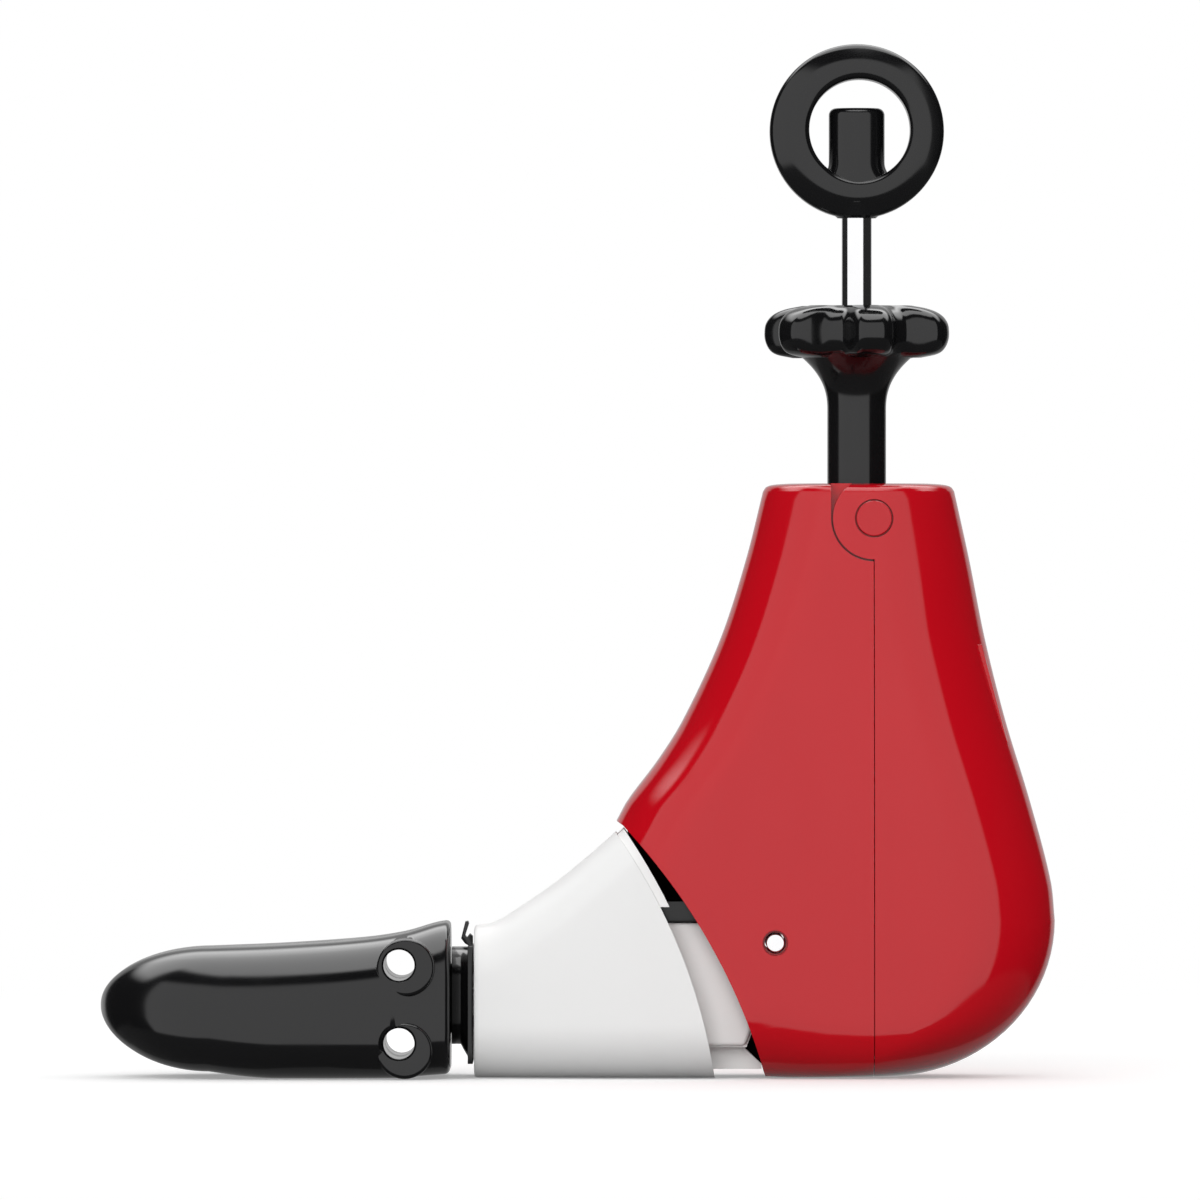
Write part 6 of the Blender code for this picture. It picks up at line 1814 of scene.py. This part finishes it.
@dataclass
class Studio:
    """Floor, world, lamps and the camera.

    Azimuths count from -Y towards +X. The skies' levels and soft edges are those that the
    gloss sees, by the height of a unit direction. Each sun holds its level, azimuth,
    elevation and width. The floor's fade and the camera's clip end are in metres.
    """

    aim: Point3 = (5.4, 0.0, 114.2)
    distance: float = 4000.0
    lens: float = 500.0
    sensor: float = 36.0
    clip_end: float = 50.0
    box_left: float = -76.0
    box_right: float = 50.0
    box_side_soft: float = 2.0
    box_foot: float = -20.0
    box_foot_soft: float = 0.03
    box_top: float = 42.0
    box_top_soft: float = 0.05
    box_level: float = 1.1
    dark: float = 0.02
    ground: float = 0.10
    roof_start: float = 62.0
    roof_soft: float = 0.03
    roof_level: float = 3.6
    high_back: Point2 = (0.52, 0.72)
    high_back_soft: Point2 = (-0.05, 0.1)
    back_half: float = 34.0
    back_soft: float = 4.0
    back_level: float = 0.55
    back_foot: tuple[float, float, float] = (-0.5, 0.0, 0.3)
    ambient: float = 0.62
    ambient_range: Point2 = (-0.4, 0.9)
    ambient_shares: Point2 = (0.9, 1.08)
    key: tuple[float, float, float, float] = (0.42, -12.0, 18.0, 45.0)
    fill: tuple[float, float, float, float] = (0.16, 170.0, 45.0, 60.0)
    floor_radius: float = 1400.0
    floor_drop: float = 0.2
    floor_lit: float = 0.42
    floor_seen: float = 0.85
    floor_glow: float = 0.30
    floor_fade: Point2 = (0.25, 0.9)

    def world(self) -> None:
        """Light the object from a pale room, with a softbox, a roof and a back wall in the gloss."""
        world = bpy.data.worlds.new("studio")
        world.use_nodes = True
        bpy.context.scene.world = world
        nodes = Nodes(world.node_tree)
        split = nodes.add("ShaderNodeSeparateXYZ")
        nodes.feed(split.inputs[0], nodes.add("ShaderNodeTexCoord").outputs["Generated"])
        x, y, z = split.outputs
        path = nodes.add("ShaderNodeLightPath").outputs
        shine = self.gloss(nodes, nodes.math("ARCTAN2", x, nodes.math("MULTIPLY", y, -1.0)), y, z)
        shares = (self.ambient * share for share in self.ambient_shares)
        plain = nodes.step(z, *self.ambient_range, *shares)
        level = nodes.blend("FLOAT", path["Is Glossy Ray"], plain, shine)
        seen = nodes.math("MAXIMUM", path["Is Camera Ray"], path["Is Transmission Ray"])
        background = world.node_tree.nodes["Background"]
        background.inputs["Color"].default_value = (1.0, 1.0, 1.0, 1.0)
        nodes.feed(background.inputs["Strength"], nodes.blend("FLOAT", seen, level, 1.0))

    def gloss(self, nodes: Nodes, around: object, y: object, z: object) -> bpy.types.NodeSocket:
        """Return what the gloss sees.

        Args:
            nodes: the world's node calls.
            around: a direction's azimuth in radians.
            y: its unit vector's Y.
            z: its unit vector's Z.

        Returns:
            The level in that direction.
        """
        soft = math.radians(self.box_side_soft)
        left, right = math.radians(self.box_left), math.radians(self.box_right)
        top, foot = math.sin(math.radians(self.box_top)), math.sin(math.radians(self.box_foot))
        wide = nodes.math("MULTIPLY", nodes.edge(around, left, soft), nodes.edge(around, right, soft, True))
        high = nodes.math("MULTIPLY", nodes.edge(z, foot, self.box_foot_soft),
                          nodes.edge(z, top, self.box_top_soft, True))
        front = nodes.math("MULTIPLY", nodes.math("MULTIPLY", wide, high), self.box_level)
        start, blur = math.sin(math.radians(self.roof_start)), self.roof_soft
        behind = nodes.math("MULTIPLY", nodes.step(z, *self.high_back), nodes.step(y, *self.high_back_soft))
        above = nodes.math("MAXIMUM", nodes.edge(z, start, blur), behind)
        roof = nodes.math("MULTIPLY", above, self.roof_level)
        edge, blend = math.radians(180 - self.back_half), math.radians(self.back_soft)
        turned = nodes.math("ABSOLUTE", around)
        wall = nodes.math("MULTIPLY", nodes.step(z, *self.back_foot, 1.0), nodes.edge(z, start, blur, True))
        lit = nodes.step(turned, edge - blend, edge + blend, 0.0, self.back_level)
        back = nodes.math("MULTIPLY", lit, wall)
        ground = nodes.step(z, foot - self.box_foot_soft, foot + self.box_foot_soft, self.ground, self.dark)
        return nodes.math("ADD", nodes.math("ADD", front, roof), nodes.math("ADD", back, ground))

    def lamp(self, name: str, level: float, azimuth: float, elevation: float, size: float) -> None:
        """Add a soft sun that doesn't show in the gloss.

        Args:
            name: the lamp's name.
            level: how brightly it lights a white face square to it, where 1 is white.
            azimuth: where it stands, from -Y towards +X.
            elevation: how high it stands over the floor.
            size: how wide it is.
        """
        data = bpy.data.lights.new(name, "SUN")
        data.energy = level * math.pi
        data.angle = math.radians(size)
        item = bpy.data.objects.new(name, data)
        a, e = math.radians(azimuth), math.radians(elevation)
        towards = Vector((math.sin(a) * math.cos(e), -math.cos(a) * math.cos(e), math.sin(e)))
        item.rotation_euler = towards.to_track_quat("Z", "Y").to_euler()
        item.visible_glossy = False
        bpy.context.scene.collection.objects.link(item)

    def floor(self) -> None:
        """Lay a round pale floor that fades into the background."""
        form = Form()
        bmesh.ops.create_circle(form.mesh, cap_ends=True, segments=MOST_SIDES, radius=self.floor_radius)
        bmesh.ops.translate(form.mesh, vec=(0.0, 0.0, -self.floor_drop), verts=form.mesh.verts)
        floor = form.finish("floor")
        material, nodes, shader = new_material("floor")
        nodes.tree.nodes.remove(shader)
        seen = nodes.add("ShaderNodeLightPath").outputs["Is Camera Ray"]
        matt = nodes.add("ShaderNodeBsdfDiffuse")
        lit, pale = ((level, level, level, 1.0) for level in (self.floor_lit, self.floor_seen))
        nodes.feed(matt.inputs["Color"], nodes.blend("RGBA", seen, lit, pale))
        glow = nodes.add("ShaderNodeEmission")
        nodes.feed(glow.inputs["Strength"], nodes.math("MULTIPLY", seen, self.floor_glow))
        near = nodes.add("ShaderNodeAddShader")
        for socket, source in zip(near.inputs, (matt, glow)):
            nodes.feed(socket, source.outputs[0])
        far = nodes.add("ShaderNodeVectorMath", operation="LENGTH")
        nodes.feed(far.inputs[0], nodes.add("ShaderNodeTexCoord").outputs["Object"])
        fade = nodes.math("MULTIPLY", nodes.step(far.outputs["Value"], *self.floor_fade), seen)
        mix = nodes.add("ShaderNodeMixShader")
        white = nodes.add("ShaderNodeEmission").outputs[0]
        for socket, source in zip(mix.inputs, (fade, near.outputs[0], white)):
            nodes.feed(socket, source)
        nodes.feed(nodes.tree.nodes["Material Output"].inputs["Surface"], mix.outputs[0])
        floor.data.materials.append(material)
        floor.visible_glossy = False

    def camera(self) -> None:
        """Set the photograph's level side view."""
        data = bpy.data.cameras.new("camera")
        data.lens = self.lens
        data.sensor_width = self.sensor
        data.clip_end = self.clip_end
        item = bpy.data.objects.new("camera", data)
        x, y, z = self.aim
        item.location = (x * MM, (y - self.distance) * MM, z * MM)
        item.rotation_euler = (math.radians(90), 0.0, 0.0)
        bpy.context.scene.collection.objects.link(item)
        bpy.context.scene.camera = item

    def build(self) -> None:
        """Make the whole studio."""
        bpy.context.scene.view_settings.view_transform = "Standard"
        self.world()
        self.lamp("key_sun", *self.key)
        self.lamp("fill_sun", *self.fill)
        self.floor()
        self.camera()


def main() -> None:
    """Build the looks round the frame."""
    logging.basicConfig(level=logging.INFO, format="%(name)s: %(message)s")
    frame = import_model()
    Studio().build()
    shop = Workshop(frame)
    for assembly in (Heel(shop), Drive(shop), Works(shop), Instep(shop), Toe(shop)):
        assembly.build()
        LOG.info("%s is done", type(assembly).__name__)


if __name__ == "__main__":
    main()
